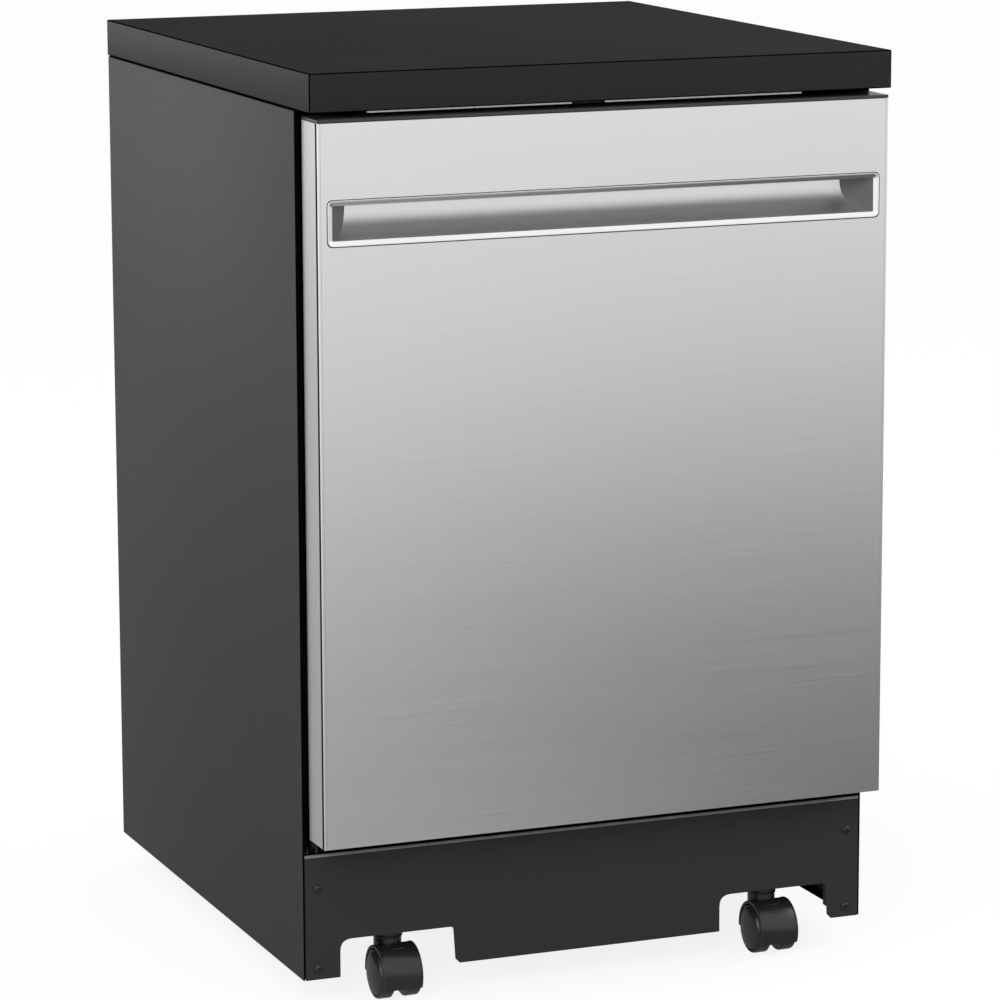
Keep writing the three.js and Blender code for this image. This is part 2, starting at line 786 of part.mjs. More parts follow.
function filter() {
  const halfX = sumpMouthWidth / 2 - filterGap
  const halfY = sumpMouthLength / 2 - filterGap
  const cupY = tubMiddle - filterOffset
  const cupFloor = tubBottom - filterDepth
  const cupTop = tubFloor + filterRim
  const screen = spanBlock(halfX, tubMiddle - halfY, tubMiddle + halfY, tubBottom, tubFloor)
  const cup = bar('z', filterRadius, cupFloor, cupTop, 0, cupY)
  const hollow = bar('z', filterRadius - filterWall, cupFloor + filterWall, cupTop + over, 0, cupY)
  const hole = bar('z', riserRadius + seatGap, cupFloor - over, cupTop + over, 0, tubMiddle)
  return cut(join(screen, cup), hollow, hole)
}

// An open ring of tube whose two ends drop to the tub's floor.
function heatingElement() {
  const height = tubFloor + heaterRise
  const end = 2 * Math.PI - heaterOpening
  const arc = new THREE.EllipseCurve(0, 0, heaterRadius, heaterRadius, heaterOpening, end)
  const points = arc.getPoints(28).map((p) => new THREE.Vector3(p.x, p.y + tubMiddle, height))
  const section = new THREE.Shape()
  section.absarc(0, 0, heaterTube, 0, 2 * Math.PI)
  const extrudePath = new THREE.CatmullRomCurve3(points)
  const ring = new THREE.ExtrudeGeometry(section, { steps: 36, curveSegments: 3, extrudePath })
  const legs = [points[0], points[points.length - 1]].map((p) => bar('z', heaterTube + heaterLegExtra,
    tubFloor + seatGap, height + heaterTube, p.x, p.y, 10))
  return join(toSolid(ring), legs)
}

function motor(sign, radius, length) {
  const start = bowlHalfX + seatGap
  const canStart = start + motorSpout - motorLap
  const z = tubBottom - sumpDepth + radius * motorSeat
  const spout = bar('x', radius * spoutShare, ...sidePair(sign, start, start + motorSpout), tubMiddle, z, 12)
  const can = bar('x', radius, ...sidePair(sign, canStart, canStart + length), tubMiddle, z)
  return join(spout, can)
}

function inletValve() {
  const bottom = beamTop + seatGap
  const top = bottom + valveHeight
  const body = block(valveX - valveHalf, valveX + valveHalf, rearCasterY - valveFront,
    rearCasterY + valveBack, bottom, top)
  const spout = bar('z', valveSpoutRadius, top - over, top + valveSpoutRise, valveSpoutX, rearCasterY, 12)
  return join(body, spout)
}

function feedTube() {
  const back = tubBack - tubWall - seatGap
  const column = spanBlock(feedWidth / 2, back - feedDepth, back, tubFloor + seatGap,
    upperRackBottom + feedRise)
  const port = spanBlock(pipeHalf, rackBack + wire, back - over, upperRackBottom - pipeDrop,
    upperRackBottom + over)
  return join(column, port)
}

function sprayArm(length) {
  const half = sprayArmWidth / 2
  const tip = half * sprayTipShare
  const blade = new THREE.Shape()
  blade.absarc(length - tip, 0, tip, -Math.PI / 2, Math.PI / 2)
  blade.lineTo(0, half)
  blade.absarc(tip - length, 0, tip, Math.PI / 2, 1.5 * Math.PI)
  blade.lineTo(0, -half)
  blade.closePath()
  const depth = sprayArmThickness
  return toSolid(new THREE.ExtrudeGeometry(blade, { depth, bevelEnabled: false, curveSegments: 4 }))
}

function lowerSprayArm() {
  const hub = bar('z', hubRadius + lowerHubExtra, 0, sprayArmThickness + lowerHubRise, 0, 0)
  return join(sprayArm(armSweep), hub)
}

function upperSprayArm() {
  const hub = bar('z', hubRadius, over, sprayArmThickness + upperHubRise, 0, 0)
  return join(sprayArm(armSweep - upperArmTrim), hub)
}

function overflowFloat() {
  const dome = new THREE.LatheGeometry([
    new THREE.Vector2(0, 0),
    new THREE.Vector2(floatRadius, 0),
    new THREE.Vector2(floatRadius, floatHeight * floatShoulder),
    new THREE.Vector2(floatRadius * floatCrown, floatHeight),
    new THREE.Vector2(0, floatHeight),
  ], 16)
  dome.rotateX(Math.PI / 2)
  return join(toSolid(dome), bar('z', floatStem, -floatStemLength, over, 0, 0, 12))
}

// ---------------------------------------------------------------- door
function doorPanel() {
  const face = spanBlock(doorHalf, doorFace, doorFace + doorSheet, doorBottom, doorTop)
  const returns = sides.map(({ sign }) => sideBlock(sign, returnInner, doorHalf, doorFace, doorBack,
    doorBottom, doorTop))
  const bottom = spanBlock(doorHalf, doorFace, doorFace + bottomReturn, doorBottom, doorBottom + doorSheet)
  const window = spanBlock(bezelHalf + seatGap, doorFace - over, doorFace + doorSheet + over,
    bezelBottom - seatGap, bezelTop + seatGap)
  return cut(join(face, returns, bottom), window)
}

function doorLiner() {
  const cutY = [linerInner - over, doorBack + over]
  const skin = spanBlock(returnInner - seatGap, linerInner, doorBack, doorBottom + linerFoot,
    doorTop - linerHead)
  const plug = spanBlock(plugHalf, doorBack - over, plugFace, plugBottom, plugTop)
  const hollow = spanBlock(plugHalf - liner, linerInner - over, plugFace - liner, plugBottom + liner,
    plugTop - liner)
  // Corners that clear the hinge ears.
  const corners = sides.map(({ sign }) => sideBlock(sign, earOffset - earGap, doorHalf, ...cutY,
    doorBottom, hingeZ + postSize))
  const window = spanBlock(dispenserWidth / 2 + seatGap, linerInner - over, plugFace + over,
    dispenserBottom - seatGap, dispenserBottom + dispenserHeight + seatGap)
  const slot = spanBlock(tongueWidth / 2 + strikeSheet, ...cutY, tongueZ - strikeLip, tongueTop + strikeLip)
  return cut(join(skin, plug), hollow, corners, window, slot)
}

function controlConsole() {
  const wallFront = doorFace + doorSheet + seatGap
  const postY = boardFront + boardPostInset * 5
  const postHalf = boardHalf - boardPostInset
  const cap = spanBlock(doorHalf, doorFace, doorBack, capBottom, capTop)
  const wall = spanBlock(returnInner - seatGap, wallFront, wallFront + consoleWall, bezelTop + consoleFoot,
    capBottom + over)
  const posts = sides.map(({ sign }) => sideBlock(sign, postHalf - boardPost, postHalf, postY,
    postY + boardPost, boardTop + seatGap, capBottom + over))
  const latchPost = spanBlock(latchWidth / 2 - latchPostInset, latchFront - seatGap - latchPostDepth,
    latchFront - seatGap, tongueZ - latchPostInset, capBottom + over)
  const holes = buttonSpecs.map(({ x, width }) => block(x - width / 2 - runningGap,
    x + width / 2 + runningGap, controlY - buttonDepth / 2 - runningGap,
    controlY + buttonDepth / 2 + runningGap, capBottom - over, capTop + over))
  return cut(join(cap, wall, posts, latchPost), holes)
}

// The board reaches round the front of the latch and its post.
function controlBoard() {
  const board = spanBlock(boardHalf, boardFront, boardBack, boardTop - boardThickness, boardTop)
  const notch = spanBlock(latchWidth / 2 + latchBridge, latchFront - latchPostDepth - over, boardBack + over,
    boardTop - boardThickness - over, boardTop + over)
  return cut(board, notch)
}

const button = ({ width }) => block(-width / 2, width / 2, -buttonDepth / 2, buttonDepth / 2, 0,
  capThickness + buttonStem - buttonRecess)

// A C of spring steel that grips the strike's tongue.
function doorLatch() {
  const low = tongueZ - latchGap
  const high = tongueTop + latchGap
  const body = spanBlock(latchWidth / 2, latchFront, linerInner - seatGap, low - jawThickness,
    high + jawThickness)
  const mouth = spanBlock(tongueWidth / 2 + 2 * latchGap + over, latchFront + latchBridge, doorBack, low,
    high)
  return cut(body, mouth)
}

// Scoop section at one depth behind the bezel's face, grown by a wall.
function pocketRing(depth, grow) {
  const share = Math.min(depth / (scoopDepth + grow), 1)
  const halfWidth = bezelHalf - bezelRim - pocketEndTaper * share + grow
  const top = bezelTop - bezelRim + grow
  const rise = bezelHeight - 2 * bezelRim + 2 * grow
  const low = top - rise * Math.sqrt(1 - share * share)
  const corners = [[-halfWidth, low], [halfWidth, low], [halfWidth, top], [-halfWidth, top]]
  return corners.map(([x, z]) => new THREE.Vector3(x, bezelFace + depth, z))
}

function handlePocket() {
  const depths = (from, grow) => spread(0, pocketSweep, pocketSteps).map(
    (angle) => from + (scoopDepth + grow - from) * Math.sin(angle))
  const outer = loft(depths(seatGap, pocketWall).map((depth) => pocketRing(depth, pocketWall)))
  const mouth = pocketRing(0, 0).map((point) => point.clone().setY(point.y - over))
  const inner = loft([mouth, ...depths(0, 0).map((depth) => pocketRing(depth, 0))])
  const frame = spanBlock(bezelHalf, bezelFace, bezelFace + bezelThickness, bezelBottom, bezelTop)
  return cut(join(frame, outer), inner)
}

// Tail towards the rear and down, then the leg up into the door.
function armOutline() {
  const lean = Math.SQRT1_2 * armHalfWidth
  const shape = new THREE.Shape()
  shape.moveTo(hingeY - armRoot, hingeZ)
  shape.lineTo(hingeY - lean - over, hingeZ - lean - over)
  shape.lineTo(tailY - lean, tailZ - lean)
  shape.lineTo(tailY + 2 * lean, tailZ)
  shape.lineTo(tailY + lean, tailZ + lean)
  shape.lineTo(hingeY + 2 * lean, hingeZ + over)
  shape.lineTo(hingeY - 2 * over, hingeZ + armRoot)
  shape.lineTo(hingeY - legBack, hingeZ + legFoot)
  shape.lineTo(hingeY - legBack, hingeZ + armReach)
  shape.lineTo(hingeY - legFront, hingeZ + armReach)
  shape.lineTo(hingeY - legFront, hingeZ + legFoot)
  shape.closePath()
  return shape
}

function hingeArm(sign) {
  const blade = runAlongX(armOutline(), sidePair(sign, armOffset, armOuter))
  const pad = sideBlock(sign, armOuter - over, returnInner - seatGap, hingeY - legFront + padInset,
    hingeY - legBack - padInset, hingeZ + 2 * legFoot, hingeZ + armReach - armRoot)
  const pin = bar('x', tailPinRadius, ...sidePair(sign, armOuter - over, linkOuter - seatGap), tailY,
    tailZ, 10)
  const hole = bar('x', pinRadius + runningGap, ...sidePair(sign, armOffset - over, armOuter + over),
    hingeY, hingeZ, 12)
  return join(cut(join(blade, pad), hole), pin)
}

// Slotted link between the arm's tail pin and the top of the spring.
function springLink(sign) {
  const sway = armRadius * (1 - Math.cos(doorSwing / 2))
  const y0 = tailY - tailPinRadius - slotEnd
  const y1 = tailY + sway + tailPinRadius + slotEnd
  const frame = sideBlock(sign, linkX, linkOuter, y0 - linkWall, y1 + linkWall, linkBottom,
    tailZ + slotHalf + linkWall)
  const slot = sideBlock(sign, linkX - over, linkOuter + over, y0, y1, tailZ - slotHalf, tailZ + slotHalf)
  const foot = sideBlock(sign, springX - springRadius, linkOuter, springY - springRadius,
    springY + springRadius, linkBottom, linkBottom + plate)
  return join(cut(frame, slot), foot)
}

const counterSpring = (sign) => bar('z', springRadius, springFoot + seatGap, linkBottom - seatGap,
  sign * springX, springY, 12)

function dispenserBody() {
  const body = spanBlock(dispenserWidth / 2, plugFace - dispenserBack, dispenserFace, dispenserBottom,
    dispenserBottom + dispenserHeight)
  const cup = block(cupX - cupWidth / 2, cupX + cupWidth / 2, dispenserFace - cupDepth, dispenserFace + over,
    cupMiddle - cupHeight / 2, cupMiddle + cupHeight / 2)
  const socket = bar('y', rinseRadius / 2 + runningGap, dispenserFace - rinseSocket, dispenserFace + over,
    rinseX, rinseZ)
  return cut(body, cup, socket)
}

function dispenserCover() {
  const half = cupWidth / 2 + coverMargin
  const rise = cupHeight / 2 + coverMargin
  const lid = spanBlock(half, 0, coverThickness, -rise, rise)
  const grip = spanBlock(2 * coverGrip, coverThickness - over, coverThickness + dispenserProud,
    -cupHeight / 2, coverGrip - cupHeight / 2)
  return join(lid, grip)
}

function rinseCap() {
  const head = bar('y', rinseRadius, 0, rinseHeight, 0, 0, 20)
  const stem = bar('y', rinseRadius / 2, -rinseStem, over, 0, 0, 14)
  const grip = spanBlock(rinseRadius * 0.7, rinseHeight - over, rinseHeight + 2, -2, 2)
  return join(head, stem, grip)
}

// ---------------------------------------------------------------- racks
// Bars of a rack: its floor grid, its rims and the uprights that join them.
function rackBasket(half, bottom, height) {
  const w = wire / 2
  const top = bottom + height
  const bars = []
  for (const x of spread(w - half, half - w, rackBars)) {
    bars.push(block(x - w, x + w, rackFront, rackBack, bottom, bottom + wire))
    bars.push(block(x - w, x + w, rackFront, rackFront + wire, bottom, top))
    bars.push(block(x - w, x + w, rackBack - wire, rackBack, bottom, top))
  }
  for (const y of spread(rackFront + w, rackBack - w, rackBars)) {
    bars.push(spanBlock(half, y - w, y + w, bottom, bottom + wire))
    bars.push(block(-half, wire - half, y - w, y + w, bottom, top))
    bars.push(block(half - wire, half, y - w, y + w, bottom, top))
  }
  for (const z of [top - wire, bottom + height / 2]) {
    const rim = [z, z + wire]
    bars.push(spanBlock(half, rackFront, rackFront + wire, ...rim))
    bars.push(spanBlock(half, rackBack - wire, rackBack, ...rim))
    bars.push(block(-half, wire - half, rackFront, rackBack, ...rim))
    bars.push(block(half - wire, half, rackFront, rackBack, ...rim))
  }
  return bars
}

function upperRack() {
  const bars = rackBasket(upperRackHalf, upperRackBottom, upperRackHeight)
  for (const { sign } of sides) {
    bars.push(sideBlock(sign, upperRackHalf - over, slideRailInner - seatGap, rackFront + sliderInset,
      rackBack - sliderInset, slideRailZ - sliderHeight / 2, slideRailZ + sliderHeight / 2))
  }
  // Water pipe under the rack's floor, to the bearing of the upper spray arm.
  const pipeZ = [upperRackBottom - pipeDrop, upperRackBottom + over]
  bars.push(spanBlock(pipeHalf, tubMiddle, rackBack + wire - seatGap, ...pipeZ))
  bars.push(bar('z', hubRadius, ...pipeZ, 0, tubMiddle))
  return join(bars)
}

const slideRail = (sign) => sideBlock(sign, slideRailInner, slideRailInner + slideRailWidth,
  rackFront - slideRailReach, rackBack + slideRailReach, slideRailZ - slideRailHeight / 2,
  slideRailZ + slideRailHeight / 2)

function lowerRack() {
  const bars = rackBasket(lowerRackHalf, lowerRackBottom, lowerRackHeight)
  for (const { sign } of sides) {
    for (const y of rackWheelPlaces) {
      bars.push(sideBlock(sign, lowerRackHalf - wire, lowerRackHalf + wire / 2, y - rackWheelLug,
        y + rackWheelLug, rackWheelZ - rackWheelLug, lowerRackBottom + wire))
      bars.push(bar('x', rackWheelPin, ...sidePair(sign, lowerRackHalf - over,
        rackWheelInner + rackWheelWidth + over), y, rackWheelZ, 10))
    }
  }
  return join(bars)
}

function rackWheel() {
  const tyre = bar('x', rackWheelRadius, 0, rackWheelWidth, 0, 0, 20)
  return cut(tyre, bar('x', rackWheelPin + runningGap, -over, rackWheelWidth + over, 0, 0, 10))
}

function silverwareBasket() {
  const x1 = lowerRackHalf - basketInset
  const x0 = x1 - basketWidth
  const y0 = rackFront + basketSetback
  const z0 = lowerRackBottom + wire + seatGap
  const top = z0 + basketHeight
  const cell = (basketLength - basketWall * (basketCells + 1)) / basketCells
  const body = block(x0, x1, y0, y0 + basketLength, z0, top)
  const cells = Array.from({ length: basketCells }, (_, i) => {
    const start = y0 + basketWall + i * (cell + basketWall)
    return block(x0 + basketWall, x1 - basketWall, start, start + cell, z0 + basketWall, top + over)
  })
  const handleY = [y0 + basketLength / 2 - handleHalf, y0 + basketLength / 2 + handleHalf]
  const handleTop = top + basketHandle
  const legs = [x0, x1 - plate].map((x) => block(x, x + plate, ...handleY, z0, handleTop))
  const grip = block(x0, x1, ...handleY, handleTop - handleGrip, handleTop)
  return join(cut(body, cells), legs, grip)
}

// ---------------------------------------------------------------- casters
// The swivelling part of a caster, about its wheel axle. The swivel axis lies casterTrail behind it.
function casterHood() {
  const inner = wheelRadius + hoodGap
  const shell = new THREE.Shape()
  shell.absarc(0, 0, inner + hoodThickness, Math.PI + hoodFront, -hoodRear, true)
  shell.absarc(0, 0, inner, -hoodRear, Math.PI + hoodFront, false)
  shell.closePath()
  const neckTop = beamBottom - seatGap - wheelRadius
  const hood = runAlongX(shell, [-hoodHalfWidth, hoodHalfWidth], 14)
  const wheelSpace = bar('x', inner, -neckRadius - over, neckRadius + over, 0, 0, 28)
  const neck = cut(bar('z', neckRadius, neckFoot, neckTop, 0, casterTrail), wheelSpace)
  const stem = bar('z', stemRadius, neckTop - over, neckTop + stemLength, 0, casterTrail, 12)
  const web = spanBlock(webHalfWidth, -webHalfDepth, webHalfDepth, 0, inner + over)
  const boss = bar('x', webHalfDepth, -webHalfWidth, webHalfWidth, 0, 0)
  const bore = bar('x', axleRadius + runningGap, -webHalfWidth - over, webHalfWidth + over, 0, 0, 12)
  return cut(join(hood, neck, stem, web, boss), bore)
}

// Two wheels with domed discs on one axle.
function wheelPair() {
  const r = wheelRadius
  const half = [
    [axleRadius, wheelInner],
    [r - over, wheelInner],
    [r, wheelInner + treadBevel],
    [r, wheelHalfWidth - treadWidth],
    [r - treadBevel, wheelHalfWidth - 2 * treadBevel],
    [r * domeShare, wheelHalfWidth - domeRise],
    [0, wheelHalfWidth],
  ]
  const left = half.map(([radius, x]) => new THREE.Vector2(radius, -x)).reverse()
  const right = half.map(([radius, x]) => new THREE.Vector2(radius, x))
  const geometry = new THREE.LatheGeometry([...left, ...right], 20)
  geometry.rotateZ(-Math.PI / 2)
  return toSolid(geometry)
}

// ---------------------------------------------------------------- assembly
add('worktop', worktop(), charcoal)
for (const { name, sign } of sides) {
  add(`${name}_side_panel`, sidePanel(sign), charcoal)
}
add('back_panel', backPanel(), charcoal)
add('service_outlet', serviceOutlet(), darkPlastic)
add('base_frame', baseFrame(), charcoal)
add('toe_panel', toePanel(), charcoal)
const screwPlaces = sides.flatMap(
  ({ sign }) => [screwHighZ, screwLowZ].map((z) => [sign * screwX, toeFace, z]))
screwPlaces.forEach((place, i) => add(`toe_screw_${i + 1}`, toeScrew(), darkPlastic, place))

add('tub', tub(), greyPlastic)
add('tub_seal', tubSeal(), rubber)
add('latch_strike', latchStrike(), darkPlastic)
add('sump', sump(), darkPlastic)
add('filter', filter(), greyPlastic)
add('heating_element', heatingElement(), zinc)
add('wash_pump', motor(1, washMotorRadius, washMotorLength), zinc)
add('drain_pump', motor(-1, drainMotorRadius, drainMotorLength), darkPlastic)
add('inlet_valve', inletValve(), greyPlastic)
add('spray_feed_tube', feedTube(), greyPlastic)
add('lower_spray_arm', lowerSprayArm(), greyPlastic, [0, tubMiddle, lowerArmZ])
add('overflow_float', overflowFloat(), greyPlastic, [floatX, floatY, tubFloor + seatGap])

add('door_panel', doorPanel(), stainless)
add('door_liner', doorLiner(), greyPlastic)
add('control_console', controlConsole(), darkPlastic)
add('control_board', controlBoard(), circuit)
add('door_latch', doorLatch(), springSteel)
add('handle_pocket', handlePocket(), polished)
for (const spec of buttonSpecs) {
  add(spec.name, button(spec), darkPlastic, [spec.x, controlY, buttonBottom])
}
for (const { name, sign } of sides) {
  add(`hinge_arm_${name}`, hingeArm(sign), zinc)
  add(`spring_link_${name}`, springLink(sign), zinc)
  add(`counter_spring_${name}`, counterSpring(sign), springSteel)
}
add('dispenser_body', dispenserBody(), greyPlastic)
add('dispenser_cover', dispenserCover(), greyPlastic, [cupX, dispenserFace + seatGap, cupMiddle])
add('rinse_aid_cap', rinseCap(), darkPlastic, [rinseX, dispenserFace + seatGap, rinseZ])

add('upper_rack', upperRack(), rackCoat)
add('upper_spray_arm', upperSprayArm(), greyPlastic, [0, tubMiddle, upperArmZ])
add('lower_rack', lowerRack(), rackCoat)
add('silverware_basket', silverwareBasket(), greyPlastic)
for (const { name, sign } of sides) {
  const wheelX = Math.min(sign * rackWheelInner, sign * (rackWheelInner + rackWheelWidth))
  add(`upper_rail_${name}`, slideRail(sign), stainless)
  rackWheelPlaces.forEach((y, i) => {
    const end = i === 0 ? 'front' : 'rear'
    add(`rack_wheel_${name}_${end}`, rackWheel(), greyPlastic, [wheelX, y, rackWheelZ])
  })
}

for (const { name, sign } of sides) {
  for (const [end, y] of [['front', frontCasterY], ['rear', rearCasterY]]) {
    const place = [sign * casterX, y - casterTrail, wheelRadius]
    add(`caster_${end}_${name}`, casterHood(), darkPlastic, place)
    add(`caster_wheels_${end}_${name}`, wheelPair(), darkPlastic, place)
  }
}

export default machine
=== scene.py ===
"""Looks for a portable dishwasher on wheels. Meshes are written in millimetres and stored in metres."""

import json
from math import copysign, cos, pi, radians, sin, sqrt

import bmesh
import bpy
from mathutils import Matrix, Vector

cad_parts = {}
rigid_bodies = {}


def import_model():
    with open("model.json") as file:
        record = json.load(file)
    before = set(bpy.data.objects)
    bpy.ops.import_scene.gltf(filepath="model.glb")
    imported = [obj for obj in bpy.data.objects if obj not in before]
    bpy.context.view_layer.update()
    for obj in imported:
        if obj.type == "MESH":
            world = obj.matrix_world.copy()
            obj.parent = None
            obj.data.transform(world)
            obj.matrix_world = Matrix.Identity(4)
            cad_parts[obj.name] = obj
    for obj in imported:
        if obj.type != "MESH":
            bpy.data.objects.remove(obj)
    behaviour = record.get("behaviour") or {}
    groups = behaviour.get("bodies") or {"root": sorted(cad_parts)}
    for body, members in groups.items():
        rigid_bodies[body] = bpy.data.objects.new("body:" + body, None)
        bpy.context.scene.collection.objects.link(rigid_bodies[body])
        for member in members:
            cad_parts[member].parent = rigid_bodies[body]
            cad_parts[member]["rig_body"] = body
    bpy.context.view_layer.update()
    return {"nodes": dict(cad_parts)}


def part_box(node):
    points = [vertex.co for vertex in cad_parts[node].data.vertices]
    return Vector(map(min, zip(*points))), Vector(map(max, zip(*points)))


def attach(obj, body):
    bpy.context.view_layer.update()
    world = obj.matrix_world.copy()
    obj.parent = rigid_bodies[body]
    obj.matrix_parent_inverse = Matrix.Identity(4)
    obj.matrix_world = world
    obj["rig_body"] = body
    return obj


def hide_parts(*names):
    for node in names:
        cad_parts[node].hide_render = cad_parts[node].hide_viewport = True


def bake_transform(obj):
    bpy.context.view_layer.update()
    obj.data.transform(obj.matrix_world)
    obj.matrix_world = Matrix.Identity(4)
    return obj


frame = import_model()

MM = 0.001
TAU = 2 * pi
SIGNS = (-1, 1)
SIDES = {"left": -1, "right": 1}
ENDS = ("front", "rear")


# ---- camera
CAMERA_PLACE = (-1.6878, -4.2501, 1.3329)
CAMERA_YAW = radians(21.839)
CAMERA_PITCH = radians(11.051)
CAMERA_ROLL = radians(-0.171)
CAMERA_LENS = 160.04
CAMERA_SENSOR = 36


def make_camera():
    forward = Vector((sin(CAMERA_YAW) * cos(CAMERA_PITCH),
                      cos(CAMERA_YAW) * cos(CAMERA_PITCH), -sin(CAMERA_PITCH)))
    right = Vector((cos(CAMERA_YAW), -sin(CAMERA_YAW), 0))
    up = right.cross(forward)
    c, s = cos(CAMERA_ROLL), sin(CAMERA_ROLL)
    turned = Matrix((right * c + up * s, up * c - right * s, -forward)).transposed()
    data = bpy.data.cameras.new("camera")
    data.lens = CAMERA_LENS
    data.sensor_width = CAMERA_SENSOR
    camera = bpy.data.objects.new("camera", data)
    camera.matrix_world = Matrix.Translation(CAMERA_PLACE) @ turned.to_4x4()
    bpy.context.scene.collection.objects.link(camera)
    bpy.context.scene.camera = camera


make_camera()


# ---- materials
NOISE_LOW, NOISE_HIGH = 0.3, 0.7  # the part of a noise's range that its values fill


class Graph:
    """Short calls for building a shader's node tree."""

    def __init__(self, tree):
        self.tree = tree

    def add(self, kind, inputs=(), **settings):
        node = self.tree.nodes.new("ShaderNode" + kind)
        for key, value in settings.items():
            setattr(node, key, value)
        for key, value in dict(inputs).items():
            self.put(value, node.inputs[key])
        return node

    def put(self, value, socket):
        if isinstance(value, bpy.types.NodeSocket):
            self.tree.links.new(value, socket)
        else:
            socket.default_value = value

    def calculate(self, operation, a, b):
        return self.add("Math", {0: a, 1: b}, operation=operation).outputs[0]

    def ray_kinds(self, *names):
        """The largest of some Light Path outputs."""
        path = self.add("LightPath")
        value = path.outputs[names[0]]
        for name in names[1:]:
            value = self.calculate("MAXIMUM", value, path.outputs[name])
        return value


class Finish(Graph):
    """A material with one shader."""

    def __init__(self, name):
        self.material = bpy.data.materials.new(name)
        self.material.use_nodes = True
        super().__init__(self.material.node_tree)
        self.shader = self.tree.nodes["Principled BSDF"]
        self.coordinates = self.add("TexCoord").outputs["Object"]

    def noise(self, scale, detail, stretch=(1, 1, 1), rough=0.5):
        """Noise from 0 to 1, with scale in features per metre and stretch along the axes."""
        mapped = self.add("Mapping", {"Vector": self.coordinates, "Scale": stretch})
        return self.add("TexNoise", {"Vector": mapped.outputs[0], "Scale": scale, "Detail": detail,
                                     "Roughness": rough}).outputs["Fac"]

    def spread(self, value, low, high):
        """Maps a noise to the range from low to high."""
        return self.add("MapRange", {"Value": value, "From Min": NOISE_LOW, "From Max": NOISE_HIGH,
                                     "To Min": low, "To Max": high}).outputs["Result"]

    def shades(self, value, dark, light):
        ramp = self.add("ValToRGB", {"Fac": value})
        for stop, place, color in zip(ramp.color_ramp.elements, (NOISE_LOW, NOISE_HIGH), (dark, light)):
            stop.position = place
            stop.color = (*color, 1)
        return ramp.outputs["Color"]

    def done(self, color, roughness, grain, bump, depth, specular=0.5, metallic=0.0):
        """Sets the shader. The grain raises the surface by a depth in metres."""
        normal = self.add("Bump", {"Height": grain, "Strength": bump, "Distance": depth})
        values = {"Base Color": color, "Roughness": roughness, "Specular IOR Level": specular,
                  "Metallic": metallic, "Normal": normal.outputs["Normal"]}
        for name, value in values.items():
            self.put(value, self.shader.inputs[name])
        return self.material


def grey(value, warm=0.0):
    return (value * (1 + warm), value, value * (1 - warm))


def plain(name, value, roughness, grain, contrast=0.07, bump=0.05, warm=0.0, specular=0.5, metallic=0.0):
    """A moulded, painted or cast finish: faint mottling, uneven gloss and a fine surface grain."""
    n = Finish(name)
    broad = n.noise(grain / 12, detail=4)
    fine = n.noise(grain, detail=5, rough=0.6)
    color = n.shades(broad, grey(value * (1 - contrast), warm), grey(value * (1 + contrast), warm))
    gloss = n.spread(fine, roughness - 0.05, roughness + 0.05)
    return n.done(color, gloss, fine, bump, 0.0004, specular, metallic)


def laminate():
    n = Finish("worktop laminate")
    fine = n.noise(900, detail=4, rough=0.65)
    color = n.shades(n.noise(9, detail=3), grey(0.0355, -0.01), grey(0.0385, -0.01))
    return n.done(color, n.spread(fine, 0.78, 0.86), fine, 0.10, 0.0002, specular=0.004)


def sheet_paint():
    n = Finish("charcoal paint")
    peel = n.noise(340, detail=2)
    color = n.shades(n.noise(6, detail=3), grey(0.0462, -0.01), grey(0.0484, -0.01))
    return n.done(color, n.spread(peel, 0.40, 0.44), peel, 0.06, 0.0003, specular=0.09)


def brushed_steel():
    """Fine horizontal brushing on sheet: streaks run along X and Y and change quickly with height."""
    n = Finish("brushed stainless")
    fine = n.noise(60, stretch=(0.35, 0.35, 60), detail=6, rough=0.7)
    long = n.noise(24, stretch=(0.12, 0.12, 60), detail=3, rough=0.6)
    half = n.calculate("MULTIPLY", n.calculate("ADD", fine, long), 0.5)
    color = n.shades(half, grey(0.757, 0.004), grey(0.852, 0.004))
    cloud = n.spread(n.noise(2.2, detail=2), 0.0, 0.10)
    tone = n.add("Mix", {"Factor": cloud, 6: color, 7: (*grey(0.74), 1)}, data_type="RGBA")
    return n.done(tone.outputs[2], n.spread(half, 0.26, 0.36), half, 0.20, 0.0003, metallic=1.0)


def polished_trim():
    n = Finish("satin trim")
    streak = n.noise(500, stretch=(0.04, 1, 1), detail=4)
    color = n.shades(streak, grey(0.86), grey(0.90))
    return n.done(color, n.spread(streak, 0.33, 0.36), streak, 0.004, 0.0001, metallic=1.0)


def galvanised():
    n = Finish("zinc plate")
    spangle = n.add("TexVoronoi", {"Vector": n.coordinates, "Scale": 130.0}).outputs["Color"]
    value = n.add("SeparateColor", {"Color": spangle}).outputs[0]
    fine = n.noise(420, detail=4)
    color = n.shades(value, grey(0.42, -0.01), grey(0.52, -0.01))
    return n.done(color, n.spread(fine, 0.36, 0.50), fine, 0.06, 0.0003, metallic=1.0)


def board_green():
    n = Finish("circuit board")
    weave = n.noise(700, stretch=(1, 1, 0.2), detail=2)
    color = n.shades(weave, (0.012, 0.07, 0.03), (0.018, 0.10, 0.045))
    return n.done(color, n.spread(weave, 0.34, 0.44), weave, 0.05, 0.0002)


